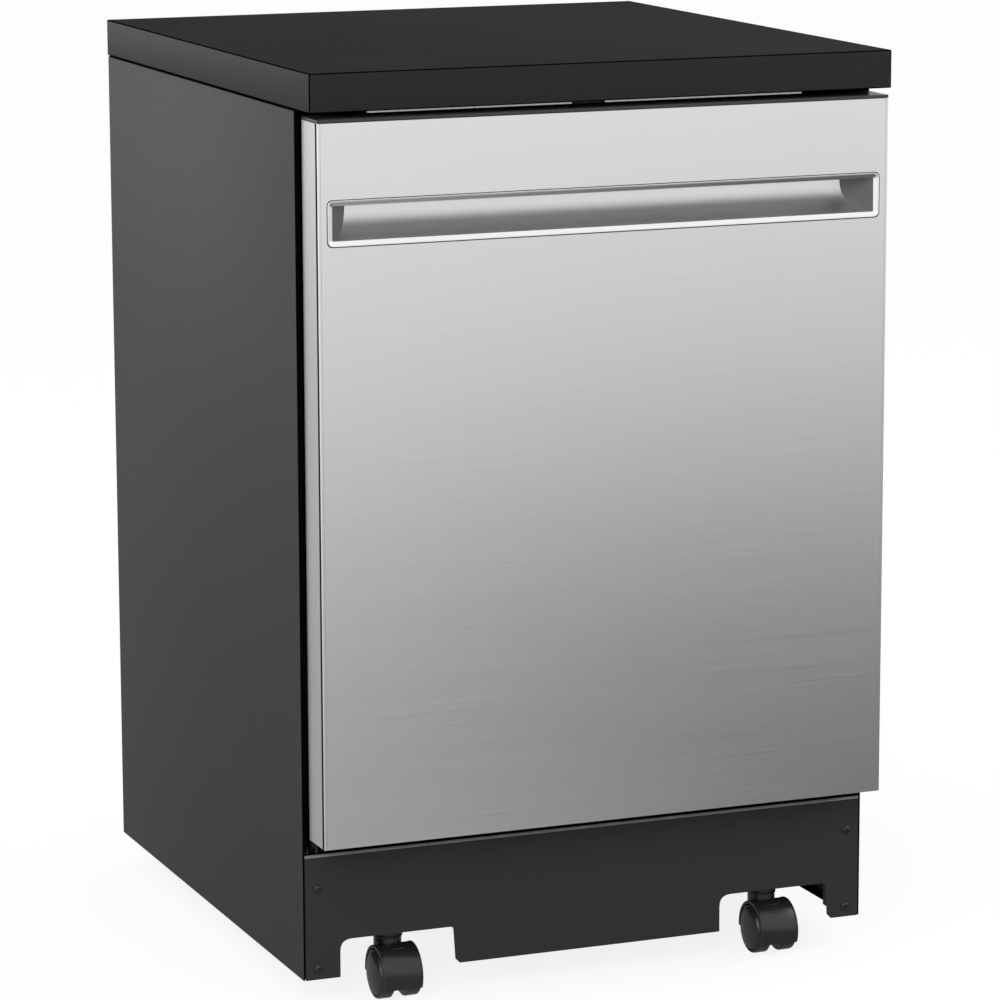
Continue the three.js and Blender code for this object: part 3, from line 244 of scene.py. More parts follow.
LOOKS = {
    "charcoal_paint": sheet_paint(),
    "worktop_laminate": laminate(),
    "stainless_front": brushed_steel(),
    "polished_trim": polished_trim(),
    "black_plastic": plain("black plastic", 0.019, 0.30, specular=0.55, grain=420),
    "caster_tread": plain("caster tread", 0.021, 0.32, grain=300, specular=0.6),
    "grey_plastic": plain("grey plastic", 0.42, 0.40, grain=200, contrast=0.04, warm=0.005),
    "coated_wire": plain("coated wire", 0.30, 0.34, grain=700, contrast=0.05, warm=-0.01),
    "zinc_steel": galvanised(),
    "spring_steel": plain("spring steel", 0.36, 0.34, grain=600, metallic=1.0),
    "fastener_black": plain("black screw", 0.02, 0.34, grain=900, specular=0.5, bump=0.08),
    "gasket_rubber": plain("gasket rubber", 0.035, 0.62, grain=500, bump=0.1),
    "circuit_board": board_green(),
}
# Near-black painted shade for the gaps, grooves, edges and folds where shade falls.
PAINTED_SHADE = plain("painted shade black", 0.003, 0.8, grain=600, specular=0.0)
EDGE_BAND = plain("worktop edge band", 0.030, 0.42, grain=900, contrast=0.04, bump=0.04, specular=0.07)
# Lighter copies of the console's black plastic: a painted highlight on its top, front and rounded edges.
PAINTED_LIGHT_CONSOLE_EDGE = plain("console edge, painted highlight", 0.045, 0.42, grain=500, specular=0.4)
PAINTED_LIGHT_CONSOLE_TOP = plain("console top, painted highlight", 0.055, 0.32, grain=420, specular=0.55)
# Black felt for the sound blanket; on the hinge shields the same near-black is painted shade.
FELT_AND_PAINTED_SHADE = plain("black felt and painted shade", 0.008, 0.9, grain=1400, contrast=0.3, bump=0.3, specular=0.05)
DARK_ZINC = plain("dark zinc", 0.10, 0.5, grain=400, metallic=1.0)
# Darker copies of the trim for inside the handle pocket: painted shade on its roof and ends.
SHADED_POCKET_ROOF = plain("pocket roof, painted shade", 0.30, 0.45, grain=400, metallic=1.0)
SHADED_POCKET_END = plain("pocket end, painted shade", 0.16, 0.5, grain=400, contrast=0.04, specular=0.3)
# A lighter grey for the toe panel's fold: a painted highlight.
PAINTED_HIGHLIGHT_EDGE = plain("toe fold painted highlight", 0.30, 0.42, grain=700, contrast=0.2, specular=0.3)
STRIP = plain("flange strip", 0.42, 0.13, grain=300, contrast=0.03, metallic=1.0)
SEGMENT = plain("display segment", 0.05, 0.3, grain=500, warm=-0.6)
DARK_WINDOW = plain("display window", 0.03, 0.10, grain=80, contrast=0.2, warm=-0.25, specular=0.6)
BRIGHT_TIN = plain("solder tin", 0.62, 0.3, grain=800, metallic=1.0)
CHIP = plain("chip resin", 0.02, 0.5, grain=900)
MARK = plain("key mark", 0.34, 0.45, grain=500)


# ---- mesh helpers
BEND_SHARE = 0.48  # the most of a straight that a bend at its end takes
LEAST_RADIUS = 0.01  # of a turned profile that runs to its axis


def node_box(node):
    """A CAD node's lowest and highest corners, in millimetres."""
    low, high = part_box(node)
    return Vector(low) / MM, Vector(high) / MM


def middle_of(low, high):
    return [(a + b) / 2 for a, b in zip(low, high)]


def body_of(node):
    return frame["nodes"][node]["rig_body"]


def add_box(bm, x0, x1, y0, y1, z0, z1):
    middle = Vector(((x0 + x1) / 2, (y0 + y1) / 2, (z0 + z1) / 2))
    size = Vector((abs(x1 - x0), abs(y1 - y0), abs(z1 - z0)))
    bmesh.ops.create_cube(bm, size=1, matrix=Matrix.LocRotScale(middle, None, size))


def bridge(bm, a, b):
    """Faces between two rings of vertices."""
    for i, corner in enumerate(a):
        j = (i + 1) % len(a)
        bm.faces.new((corner, a[j], b[j], b[i]))


def skin(bm, rings, closed=False):
    """Faces through rings of equal point counts. Open runs are capped."""
    made = [[bm.verts.new(p) for p in ring] for ring in rings]
    for a, b in zip(made, made[1:]):
        bridge(bm, a, b)
    if closed:
        bridge(bm, made[-1], made[0])
    else:
        bm.faces.new(list(reversed(made[0])))
        bm.faces.new(made[-1])


def to_axis(axis, along, u, v):
    return {"x": Vector((along, u, v)), "y": Vector((u, along, v)), "z": Vector((u, v, along))}[axis]


def shifted(start, points, sign=1):
    """A profile whose places are counted from a start."""
    return [(start + sign * place, radius) for place, radius in points]


def around(count):
    """Unit directions, evenly round a circle."""
    return [(cos(TAU * i / count), sin(TAU * i / count)) for i in range(count)]


def turned(profile, axis, centre, steps):
    """A profile of (place along the axis, radius), once for each step round an axis through centre."""
    profile = [(along, max(radius, LEAST_RADIUS)) for along, radius in profile]
    return [[to_axis(axis, along, radius * c, radius * s) + Vector(centre) for along, radius in profile]
            for c, s in around(steps)]


def add_lathe(bm, profile, axis, centre, steps):
    """Turns a profile from end to end, with a cap on each."""
    skin(bm, zip(*turned(profile, axis, centre, steps)))


def add_ring(bm, profile, axis, centre, steps):
    """Turns a closed profile that stays off the axis."""
    skin(bm, turned(profile, axis, centre, steps), closed=True)


def add_prism(bm, outline, axis, start, end):
    """An outline of (u, v) run along an axis. For x they are (y, z), for y (x, z), for z (x, y)."""
    skin(bm, [[to_axis(axis, place, u, v) for u, v in outline] for place in (start, end)])


def rib(u, v, heights, widths):
    """A pressed rib's outline. Its foot, shoulders and crest stand at heights from u."""
    foot, shoulder, crest = heights
    wide, narrow = widths
    return [(u + foot, v - wide), (u + shoulder, v - narrow), (u + crest, v), (u + shoulder, v + narrow),
            (u + foot, v + wide)]


def arc(cu, cv, radius, start, end, steps):
    """Points of an arc, with its angles in degrees."""
    angles = [radians(start + (end - start) * i / steps) for i in range(steps + 1)]
    return [(cu + radius * cos(a), cv + radius * sin(a)) for a in angles]


def rounded_rectangle(half_u, half_v, radius, steps, cu=0.0, cv=0.0):
    corners = ((1, 1, 0), (-1, 1, 90), (-1, -1, 180), (1, -1, 270))
    return [p for su, sv, start in corners
            for p in arc(cu + su * (half_u - radius), cv + sv * (half_v - radius), radius,
                         start, start + 90, steps)]


def bend(points, radius, steps=4, closed=False):
    """A path through points with its corners rounded."""
    points = [Vector(p) for p in points]
    count = len(points)
    path = []
    for i, p in enumerate(points):
        if not closed and i in (0, count - 1):
            path.append(p)
            continue
        before = points[i - 1] - p
        after = points[(i + 1) % count] - p
        reach = min(radius, before.length * BEND_SHARE, after.length * BEND_SHARE)
        a, b = p + before.normalized() * reach, p + after.normalized() * reach
        for k in range(steps + 1):
            t = k / steps
            path.append(a * (1 - t) ** 2 + p * 2 * t * (1 - t) + b * t ** 2)
    return path


def add_wire(bm, path, radius, facets=8, closed=False):
    """A round wire along a path. Each ring keeps the frame of the one before it, so nothing twists."""
    count = len(path)
    rings = []
    side = None
    for i, p in enumerate(path):
        ahead = path[(i + 1) % count] if closed or i < count - 1 else p
        behind = path[i - 1] if closed or i > 0 else p
        along = (ahead - behind).normalized()
        if side is None:
            side = along.orthogonal().normalized()
        side = (side - along * side.dot(along)).normalized()
        other = along.cross(side)
        rings.append([p + (side * c + other * s) * radius for c, s in around(facets)])
    skin(bm, rings, closed=closed)


def piece(name, bm, body, slot, nodes=(), bevel=0.0, segments=2, sharp=35, material=None, line=None):
    """Makes an object of a mesh in millimetres, and gives it rounded edges, a finish and a body to ride on.
    A line is the second material, which the rounded edges take."""
    bmesh.ops.recalc_face_normals(bm, faces=bm.faces)
    mesh = bpy.data.meshes.new(name)
    bm.to_mesh(mesh)
    bm.free()
    mesh.transform(Matrix.Scale(MM, 4))
    mesh.materials.append(material or LOOKS[slot])
    mesh.polygons.foreach_set("use_smooth", [True] * len(mesh.polygons))
    made = bpy.data.objects.new(name, mesh)
    bpy.context.scene.collection.objects.link(made)
    if bevel:
        rounding = made.modifiers.new("rounding", "BEVEL")
        rounding.width = bevel * MM
        rounding.segments = segments
        rounding.limit_method = "ANGLE"
        rounding.angle_limit = radians(sharp)
        rounding.harden_normals = True
        if line:
            mesh.materials.append(line)
            rounding.material = 1
    else:
        mesh.set_sharp_from_angle(angle=radians(sharp))
        even = made.modifiers.new("even shading", "WEIGHTED_NORMAL")
        even.keep_sharp = True
    if body:
        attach(made, body)
    if nodes:
        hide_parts(*nodes)
    return made


def shape(node, bm, slot, **more):
    """The piece that takes one CAD node's place."""
    return piece(f"{node}_shape", bm, body_of(node), slot, (node,), **more)


def refined(node, slot, bevel=0.6, extra=None, **more):
    """The CAD solid with its flat faces merged, its edges rounded and any extra detail joined on."""
    bm = bmesh.new()
    bm.from_mesh(frame["nodes"][node].data)
    bm.transform(Matrix.Scale(1 / MM, 4))
    bmesh.ops.remove_doubles(bm, verts=bm.verts, dist=0.01)
    bmesh.ops.dissolve_limit(bm, angle_limit=radians(1), verts=bm.verts, edges=bm.edges)
    if extra:
        extra(bm)
    return shape(node, bm, slot, bevel=bevel, **more)


def dress(made, material, test):
    """Gives the faces that pass a test a material of their own."""
    slots = made.data.materials
    if material.name not in slots:
        slots.append(material)
    for face in made.data.polygons:
        if test(face):
            face.material_index = slots.find(material.name)


# ---- cabinet
def make_cabinet():
    # The worktop's rounded edges take the near-black painted shade, a dark line along every edge.
    lid = refined("worktop", "worktop_laminate", bevel=1.2, segments=3, line=PAINTED_SHADE)
    dress(lid, EDGE_BAND, lambda face: abs(face.normal.z) < 0.5)
    for side in SIDES:
        panel = refined(f"{side}_side_panel", "charcoal_paint", bevel=0.5)
        # The panels' front faces take the near-black painted shade of the gap beside the door.
        dress(panel, PAINTED_SHADE, lambda face: face.normal.y < -0.5)
    refined("back_panel", "charcoal_paint", bevel=0.3, extra=pressed_ribs)
    refined("base_frame", "charcoal_paint")
    refined("service_outlet", "black_plastic", bevel=0.5, extra=collar_threads)
    make_back_screws()
    make_lid_rails()
    make_blanket()
    make_hinge_shields()


def pressed_ribs(bm):
    """Shallow stiffening ribs of the back panel."""
    low, high = node_box("back_panel")
    margin = 60
    for z in (250, 400, 550, 700):
        add_prism(bm, rib(high.y, z, (-0.3, 1.4, 1.8), (12, 8)), "x", low.x + margin, high.x - margin)


def collar_threads(bm):
    """Threads on the two hose collars and a clamping nut on the cord's gland."""
    low, high = node_box("service_outlet")
    z = (low.z + high.z) / 2
    pitch, root, crest = 1.8, 12.6, 13.5
    for x in (-110, -75):
        for i in range(3):
            y = high.y - 1.2 - pitch * i
            add_ring(bm, [(y - 0.5, root), (y, crest), (y + 0.5, root)], "y", (x, 0, z), steps=32)
    nut = shifted(high.y, [(-2.6, 8.6), (-2.6, 11.5), (-0.4, 11.5), (-0.4, 8.6)])
    add_ring(bm, nut, "y", (-46, 0, z), steps=6)


def make_back_screws():
    low, high = node_box("back_panel")
    inset = 9
    places = [(x, z) for x in (low.x + inset, high.x - inset) for z in (120, 330, 540, 750)]
    places += [(x, high.z - inset) for x in (-150, 0, 150)]
    profile = shifted(high.y, [(-0.4, 4.2), (0.5, 4.2), (1.6, 3.2), (2.0, 1.9), (1.2, 1.5), (1.1, 0)])
    bm = bmesh.new()
    for x, z in places:
        add_lathe(bm, profile, "y", (x, 0, z), steps=18)
    piece("back_panel_screws", bm, "cabinet", "fastener_black", sharp=40)


def make_lid_rails():
    """Foam strips between the worktop and the tops of the side panels, in near-black painted shade for the
    shadow gap under the worktop.
    """
    lid_bottom = node_box("worktop")[0].z
    inner, outer, front, back = 294.0, 304.45, -274, 322
    bm = bmesh.new()
    for sign in SIGNS:
        add_box(bm, sign * inner, sign * outer, front, back, lid_bottom - 1.6, lid_bottom - 0.05)
    piece("worktop_foam_shade_strips", bm, "cabinet", "gasket_rubber", bevel=0.2, material=PAINTED_SHADE)


def make_blanket():
    """A dark sound blanket behind the toe panel, with stitched quilting and a bound edge."""
    y, half, bottom, top = -268.9, 284.0, 98.0, 172.0
    columns, rows, per_quilt = 48, 6, 4
    across, up = columns * per_quilt, rows * per_quilt
    bm = bmesh.new()
    grid = []
    for j in range(up + 1):
        z = bottom + (top - bottom) * j / up
        grid.append([])
        for i in range(across + 1):
            x = -half + 2 * half * i / across
            puff = abs(sin(pi * i / per_quilt)) * abs(sin(pi * j / per_quilt))
            grid[-1].append(bm.verts.new((x, y + 1.6 - 1.4 * puff ** 0.5, z)))
    for a, b in zip(grid, grid[1:]):
        for i in range(across):
            bm.faces.new((a[i], a[i + 1], b[i + 1], b[i]))
    for z in (bottom, top):
        add_box(bm, -half, half, y, y + 3, z - 1.2, z + 1.2)
    add_box(bm, -half, half, y + 1.9, y + 3.0, bottom, top)
    piece("sound_blanket", bm, "cabinet", "gasket_rubber", sharp=60, material=FELT_AND_PAINTED_SHADE)


def make_hinge_shields():
    """Felt plates that close the gaps beside the tub around each hinge; their near-black is painted shade for
    those gaps.
    """
    top, near, far = 250, -231.0, -229.4
    bm = bmesh.new()
    for sign in SIGNS:
        add_box(bm, sign * 298.8, sign * 302.6, -272.0, -266.0, 150, top)
        add_box(bm, sign * 276.1, sign * 302.4, near, far, 96, top)
        add_box(bm, sign * 250.0, sign * 276.0, near, far, 96, 175.6)
        for z in range(110, top, 14):
            add_box(bm, sign * 279.0, sign * 301.0, near - 0.5, near + 0.1, z - 2, z + 2)
    piece("hinge_shields", bm, "cabinet", "gasket_rubber", bevel=0.25, material=FELT_AND_PAINTED_SHADE)


def make_toe_panel():
    """The sheet keeps its CAD cut-outs. The fold along its top is rolled, with a painted highlight on its
    front slope and painted shade above.
    """
    low, high = node_box("toe_panel")
    fold, sloping, level = 3.2, 0.12, 0.8
    fold_start = (high.z - fold - 0.2) * MM

    def at_fold(point):
        return point.z > high.z - 0.1 and point.y < low.y + 0.1

    def roll(bm):
        edges = [e for e in bm.edges if all(at_fold(v.co) for v in e.verts)]
        bmesh.ops.bevel(bm, geom=edges, offset=fold, segments=5, profile=0.5, affect="EDGES")

    panel = refined("toe_panel", "charcoal_paint", bevel=0, extra=roll)
    # The fold's sloping faces take the lighter painted highlight, and its top the near-black painted shade
    # under the door.
    dress(panel, PAINTED_HIGHLIGHT_EDGE, lambda face: face.center.z > fold_start and sloping < face.normal.z <= level)
    dress(panel, PAINTED_SHADE, lambda face: face.center.z > fold_start and face.normal.z > level)


def make_screws():
    """Pan-head screws with a round recess."""
    for i in range(1, 5):
        node = f"toe_screw_{i}"
        low, high = node_box(node)
        x, _, z = middle_of(low, high)
        radius = (high.x - low.x) / 2
        head = [(1.3, 0), (1.3, 1.3), (1.1, 1.5), (0.05, 1.7), (0, 2.2), (0.3, 3.2), (0.8, radius - 0.4),
                (1.4, radius), (1.8, radius), (1.8, 2.0)]
        bm = bmesh.new()
        add_lathe(bm, shifted(low.y, head) + [(high.y - 0.6, 1.9), (high.y, 1.2)], "y", (x, 0, z), steps=30)
        shape(node, bm, "fastener_black", sharp=40)


# ---- door
DOOR_SHEET = 1.2
EDGE_RADIUS = 1.0
SEAM_START = 1.5
SEAM_END = 6.4
SEAM_DEPTH = 1.0
CORNER = 5.8
HEM_INSET = 2.6
HEM_WIDTH = 0.55
WINDOW_GAP = 0.3


def make_door():
    make_door_panel()
    make_handle_pocket()
    make_liner()
    make_console()
    make_board()
    refined("door_latch", "spring_steel", bevel=0.4)
    make_dispenser()


def door_margin(sign, inside, edge, face, back):
    """One side of the front skin in plan: its hem line, round edge, seam and deep return."""
    hem = edge - sign * HEM_INSET
    outline = [(inside, face), (hem - sign * HEM_WIDTH, face), (hem - sign * HEM_WIDTH / 2, face + 0.5),
               (hem, face), (edge - sign * EDGE_RADIUS, face)]
    for k in range(1, 6):
        a = radians(18 * k)
        outline.append((edge - sign * EDGE_RADIUS * (1 - sin(a)),
                        face + EDGE_RADIUS * (1 - cos(a))))
    inner, deep = edge - sign * DOOR_SHEET, edge - sign * SEAM_DEPTH
    return outline + [
        (edge, face + SEAM_START), (deep, face + SEAM_START + 0.05), (deep, face + SEAM_END),
        (edge, face + SEAM_END + 0.05), (edge, back - 0.5), (edge - sign * 0.5, back), (inner, back),
        (inner, face + DOOR_SHEET), (inside, face + DOOR_SHEET)]


def make_door_panel():
    """Folded sheet round the pocket's window, with a fillet in each corner of the window."""
    low, high = node_box("door_panel")
    pocket_low, pocket_high = node_box("handle_pocket")
    left, right = pocket_low.x - WINDOW_GAP, pocket_high.x + WINDOW_GAP
    sill, head = pocket_low.z - WINDOW_GAP, pocket_high.z + WINDOW_GAP
    face, inside = low.y, low.y + DOOR_SHEET
    bm = bmesh.new()
    for sign in SIGNS:
        add_prism(bm, door_margin(sign, sign * right, sign * high.x, face, high.y), "z", low.z, high.z)
    front = [(left, face), (right, face), (right, inside), (left, inside)]
    add_prism(bm, front, "z", head, high.z)
    add_prism(bm, front, "z", low.z, sill)
    for x, u in ((left, 1), (right, -1)):
        for z, v in ((sill, 1), (head, -1)):
            corner = [(x, z)] + [(x + u * CORNER * (1 - cos(a)), z + v * CORNER * (1 - sin(a)))
                                 for a in (radians(10 * k) for k in range(10))]
            add_prism(bm, corner, "y", face, inside)
    add_box(bm, low.x + DOOR_SHEET, high.x - DOOR_SHEET, inside, face + 12, low.z, low.z + DOOR_SHEET)
    bmesh.ops.remove_doubles(bm, verts=bm.verts, dist=0.005)
    shape("door_panel", bm, "stainless_front", sharp=30)
    # Near-black strips in the groove of each return: painted shade that darkens the seam.
    strips = bmesh.new()
    for sign in SIGNS:
        add_box(strips, sign * (high.x - 0.95), sign * (high.x - 0.45), face + SEAM_START + 0.1,
                face + SEAM_END - 0.1, low.z + 0.5, high.z - 0.5)
    piece("door_seam_painted_shade", strips, "door", "gasket_rubber", bevel=0.1, material=PAINTED_SHADE)


def make_handle_pocket():
    """A trim ring with a sloping rim, and a scoop that is deepest at its top, with slanted flat ends."""
    low, high = node_box("handle_pocket")
    half = (high.x - low.x) / 2 - 0.4
    bottom, top = low.z + 0.4, high.z - 0.4
    rim, slope, depth, taper = 5.4, 1.9, 32.0, 23.0
    fullness, sweep = 0.82, 36
    middle, rise = (bottom + top) / 2, (top - bottom) / 2
    face = low.y
    upper, lower, width = top - rim, bottom + rim, half - rim
    start = face + slope + 0.8
    bm = bmesh.new()
    # The trim's rings: how far in, how far back, and corner radius.
    trim = ((0, 2.4, 5.6), (0, 0.5, 5.6), (0.15, 0.15, 5.5), (0.5, 0, 5.2), (1.5, 0.12, 4.4),
            (1.75, 0.4, 4.2), (2.0, 0.5, 4.0), (rim - 0.5, slope, 1.2), (rim - 0.1, slope + 0.3, 0.8),
            (rim, slope + 0.8, 0.7))
    rings = [[bm.verts.new((u, face + back, v))
              for u, v in rounded_rectangle(half - inset, rise - inset, radius, 6, cv=middle)]
             for inset, back, radius in trim]
    for a, b in zip(rings, rings[1:]):
        bridge(bm, a, b)

    def scoop(k, extra=0.0):
        """A fuller curve than a quarter circle: how deep, how far down, and the share of the depth."""
        angle = pi / 2 * k / sweep
        share = sin(angle) ** fullness
        fall = max(0.0, cos(angle)) ** fullness
        return start + (depth - slope - 0.8 + extra) * share, upper - (upper - lower + extra) * fall, share

    sections = []
    for k in range(sweep + 1):
        y, z, share = scoop(k)
        x = width - taper * share
        sections.append([bm.verts.new(p) for p in ((-x, y, z), (x, y, z), (x, y, upper), (-x, y, upper))])
    # The roof and the ends of the scoop take darker materials, painted shade inside the pocket.
    roof, end = 1, 2
    for k, (a, b) in enumerate(zip(sections, sections[1:])):
        for i in range(4):
            if k == sweep - 1 and i in (1, 3):
                continue
            j = (i + 1) % 4
            wall = bm.faces.new((a[i], a[j], b[j], b[i]))
            wall.material_index = (0, end, roof, end)[i]
    for i, j in ((1, 2), (3, 0)):
        bm.faces.new((sections[-2][i], sections[-2][j], sections[-1][i])).material_index = end
    shell = shape("handle_pocket", bm, "polished_trim", sharp=28)
    shell.data.materials.append(SHADED_POCKET_ROOF)
    shell.data.materials.append(SHADED_POCKET_END)
    back = bmesh.new()
    deepest = start + depth - slope
    outline = [scoop(k, 1.5)[:2] for k in range(sweep + 1)]
    outline += [(deepest + 0.7, upper + 1.0), (start, upper + 1.0), (start, upper + 0.4),
                (deepest - 0.1, upper + 0.4)]
    outline += [scoop(k, 0.7)[:2] for k in range(sweep, -1, -1)]
    add_prism(back, outline, "x", -(width - taper), width - taper)
    piece("handle_pocket_back", back, "door", "grey_plastic", ("handle_pocket",), sharp=40)


def make_liner():
    """The inner door: embossed ribs above and below the dispenser."""
    face = node_box("door_liner")[1].y

    def ribs(bm):
        for z in (*range(250, 440, 32), *range(670, 830, 32)):
            add_prism(bm, rib(face, z, (-0.5, 0.5, 0.9), (5, 3.4)), "x", -215, 215)

    refined("door_liner", "grey_plastic", bevel=1.2, segments=3, extra=ribs)


# The inner radius of the ring that marks each key.
KEYS = {"power_button": 0.9, "cycle_button": 0.9, "options_button": 0.9, "start_button": 1.2}
DISPLAY_X, DISPLAY_Y = -114, -288.4
DIGIT_STEP = 3.6  # from the display's middle to each digit's
# The seven strokes of a digit: left, right, front and back ends.
STROKES = ((-1.3, 1.3, 2.2, 2.6), (-1.3, 1.3, -0.2, 0.2), (-1.3, 1.3, -2.6, -2.2), (-1.8, -1.4, 0.3, 2.2),
           (1.4, 1.8, 0.3, 2.2), (-1.8, -1.4, -2.2, -0.3), (1.4, 1.8, -2.2, -0.3))


def make_console():
    """The dark strip on the door's top edge, with its display window, keys and a lamp beside each key."""
    console = refined("control_console", "black_plastic", bevel=0.5, segments=3, line=PAINTED_LIGHT_CONSOLE_EDGE)
    # The top and front faces and the rounded edges take the lighter copies, a painted highlight.
    dress(console, PAINTED_LIGHT_CONSOLE_TOP, lambda face: face.normal.z > 0.9)
    dress(console, PAINTED_LIGHT_CONSOLE_EDGE, lambda face: face.normal.y < -0.9)
    surface = node_box("control_console")[1].z
    window = bmesh.new()
    outline = rounded_rectangle(10, 4.2, 1.4, 4)
    skin(window, [[(u * s + DISPLAY_X, v * s + DISPLAY_Y, surface + z) for u, v in outline]
                  for s, z in ((1.0, -0.3), (1.0, 0.14), (0.97, 0.24), (0.9, 0.26))])
    piece("display_window", window, "door", "black_plastic", material=DARK_WINDOW, sharp=50)
    digits = bmesh.new()
    for x in (DISPLAY_X - DIGIT_STEP, DISPLAY_X + DIGIT_STEP):
        for u0, u1, v0, v1 in STROKES:
            add_box(digits, x + u0, x + u1, DISPLAY_Y + v0, DISPLAY_Y + v1, surface + 0.22, surface + 0.3)
    piece("display_segments", digits, "door", "black_plastic", material=SEGMENT, bevel=0.05)
    lamps = bmesh.new()
    lens = shifted(surface, [(-0.2, 1.1), (0.12, 1.1), (0.22, 0.8), (0.26, 0)])
    for node, dot in KEYS.items():
        low, high = node_box(node)
        x, y, _ = middle_of(low, high)
        add_lathe(lamps, lens, "z", (x + high.x - low.x + 1, y, 0), steps=16)
        refined(node, "black_plastic", bevel=0.55, segments=3)
        mark = bmesh.new()
        profile = shifted(high.z, [(-0.05, dot), (0.09, dot + 0.05), (0.09, dot + 0.45), (-0.05, dot + 0.5)])
        add_ring(mark, profile, "z", (x, y, 0), steps=24)
        piece(f"{node}_mark", mark, body_of(node), "grey_plastic", material=MARK, sharp=50)
    piece("console_lamps", lamps, "door", "grey_plastic", material=MARK, sharp=50)


# Chips and relays: place along X, width, depth and height. Capacitors: place along X and off the middle.
CHIPS = ((-150, 14, 14, 2), (-95, 10, 6, 1.6), (-60, 18, 15, 10), (60, 18, 15, 10), (96, 10, 6, 1.6),
         (140, 22, 8, 6), (-178, 8, 18, 7))
CAPACITORS = ((-120, -6), (-30, 4), (30, -5), (118, 5), (168, -4))
PIN_PITCH = 1.6


def make_board():
    """A control board with its chips, relays, capacitors and connectors on the underside."""
    refined("control_board", "circuit_board", bevel=0.15)
    low, high = node_box("control_board")
    chips, pins, cans = bmesh.new(), bmesh.new(), bmesh.new()
    y, under = (low.y + high.y) / 2, low.z
    for x, w, d, h in CHIPS:
        add_box(chips, x - w / 2, x + w / 2, y - d / 2, y + d / 2, under - h, under)
        for i in range(int(w / PIN_PITCH)):
            u = x - w / 2 + 1 + i * PIN_PITCH
            for sign in SIGNS:
                v = y + sign * (d / 2 + 0.5)
                add_box(pins, u - 0.25, u + 0.25, v - 0.6, v + 0.6, under - 0.5, under)
    can = shifted(under, [(-9, 0), (-9, 3.2), (-8.4, 3.6), (-1.6, 3.6), (-1.2, 3.3), (-0.8, 3.6), (0, 3.6)])
    for x, dy in CAPACITORS:
        add_lathe(cans, can, "z", (x, y + dy, 0), steps=20)
    piece("board_chips", chips, "door", "circuit_board", material=CHIP, bevel=0.25)
    piece("board_pins", pins, "door", "circuit_board", material=BRIGHT_TIN, bevel=0.05)
    piece("board_capacitors", cans, "door", "circuit_board", material=BRIGHT_TIN, sharp=50)


def make_dispenser():
    refined("dispenser_body", "grey_plastic", bevel=1.0, segments=3)
    cover_low, cover_high = node_box("dispenser_cover")

    def ridges(bm):
        foot, crest = -267.2, -266.4
        for i in range(5):
            z = cover_low.z + 20 + 7 * i
            outline = [(foot, z - 1.6), (crest, z - 0.9), (crest, z + 0.9), (foot, z + 1.6)]
            add_prism(bm, outline, "x", cover_low.x + 12, cover_high.x - 12)

    refined("dispenser_cover", "grey_plastic", bevel=0.7, segments=3, extra=ridges)
    low, high = node_box("rinse_aid_cap")

    def knurls(bm):
        cx, _, cz = middle_of(low, high)
        count, radius = 28, 17.7
        profile = shifted(low.y, [(6.6, 0.6), (7.0, 0.8), (10.4, 0.8), (10.8, 0.5)])
        for c, s in around(count):
            add_lathe(bm, profile, "y", (cx + radius * c, 0, cz + radius * s), steps=6)

    refined("rinse_aid_cap", "black_plastic", bevel=0.6, segments=3, extra=knurls)


# ---- casters
# One wheel from the pair's middle outwards: place along the axle and radius.
WHEEL_PROFILE = [(6.8, 3.4), (6.8, 19), (7.0, 23.6), (8.2, 25), (19.2, 25), (20.4, 24.6), (20.9, 23.7),
                 (20.5, 22.9), (19.7, 22.3), (20.2, 21.7), (21.7, 20.9), (22.9, 18.2), (23.7, 14.2),
                 (24.3, 9.4), (24.55, 4.5), (24.6, 0)]
NECK_PROFILE = [(57.4, 13.6), (57.8, 14.7), (59.8, 14.9), (60.2, 14.2), (60.6, 13.4), (61.4, 13.2),
                (61.8, 14.0), (65.7, 14.3), (65.8, 12)]
SWIVEL_OFFSET = 18.4  # from the axle to the swivel's axis


def make_casters():
    for end in ENDS:
        for side in SIDES:
            make_caster_hood(f"caster_{end}_{side}", f"caster_wheels_{end}_{side}")
            make_wheel_pair(f"caster_wheels_{end}_{side}")


def make_wheel_pair(node):
    low, high = node_box(node)
    bm = bmesh.new()
    mirrored = [(-along, radius) for along, radius in reversed(WHEEL_PROFILE)]
    add_lathe(bm, mirrored + WHEEL_PROFILE, "x", (low + high) / 2, steps=72)
    shape(node, bm, "caster_tread", sharp=32)


def make_caster_hood(node, wheels):
    """The fork's shell over both wheels, with a rim along each side and a collar on its neck."""
    low, high = node_box(node)
    wheel_low, wheel_high = node_box(wheels)
    axle = (wheel_low + wheel_high) / 2
    half = (high.x - low.x) / 2
    first, turn, steps = -0.1, pi + 0.5, 48

    def trim(bm):
        for sign in SIGNS:
            profile = [(sign * (half - inset), radius) for inset, radius in
                       ((2.0, 28.2), (1.6, 28.9), (0.3, 28.9), (0, 28.5), (0, 27.6), (2.0, 27.6))]
            rings = []
            for i in range(steps + 1):
                a = first + turn * i / steps
                rings.append([axle + Vector((x, r * cos(a), r * sin(a))) for x, r in profile])
            skin(bm, rings)
        add_lathe(bm, NECK_PROFILE, "z", (axle.x, axle.y + SWIVEL_OFFSET, 0), steps=40)

    refined(node, "black_plastic", bevel=0.7, segments=3, extra=trim)


# ---- tub and water parts
MIDDLE_Y = -4.4
TUB_BACK, TUB_SIDE = 262.0, 274.5  # just outside the tub's inner faces


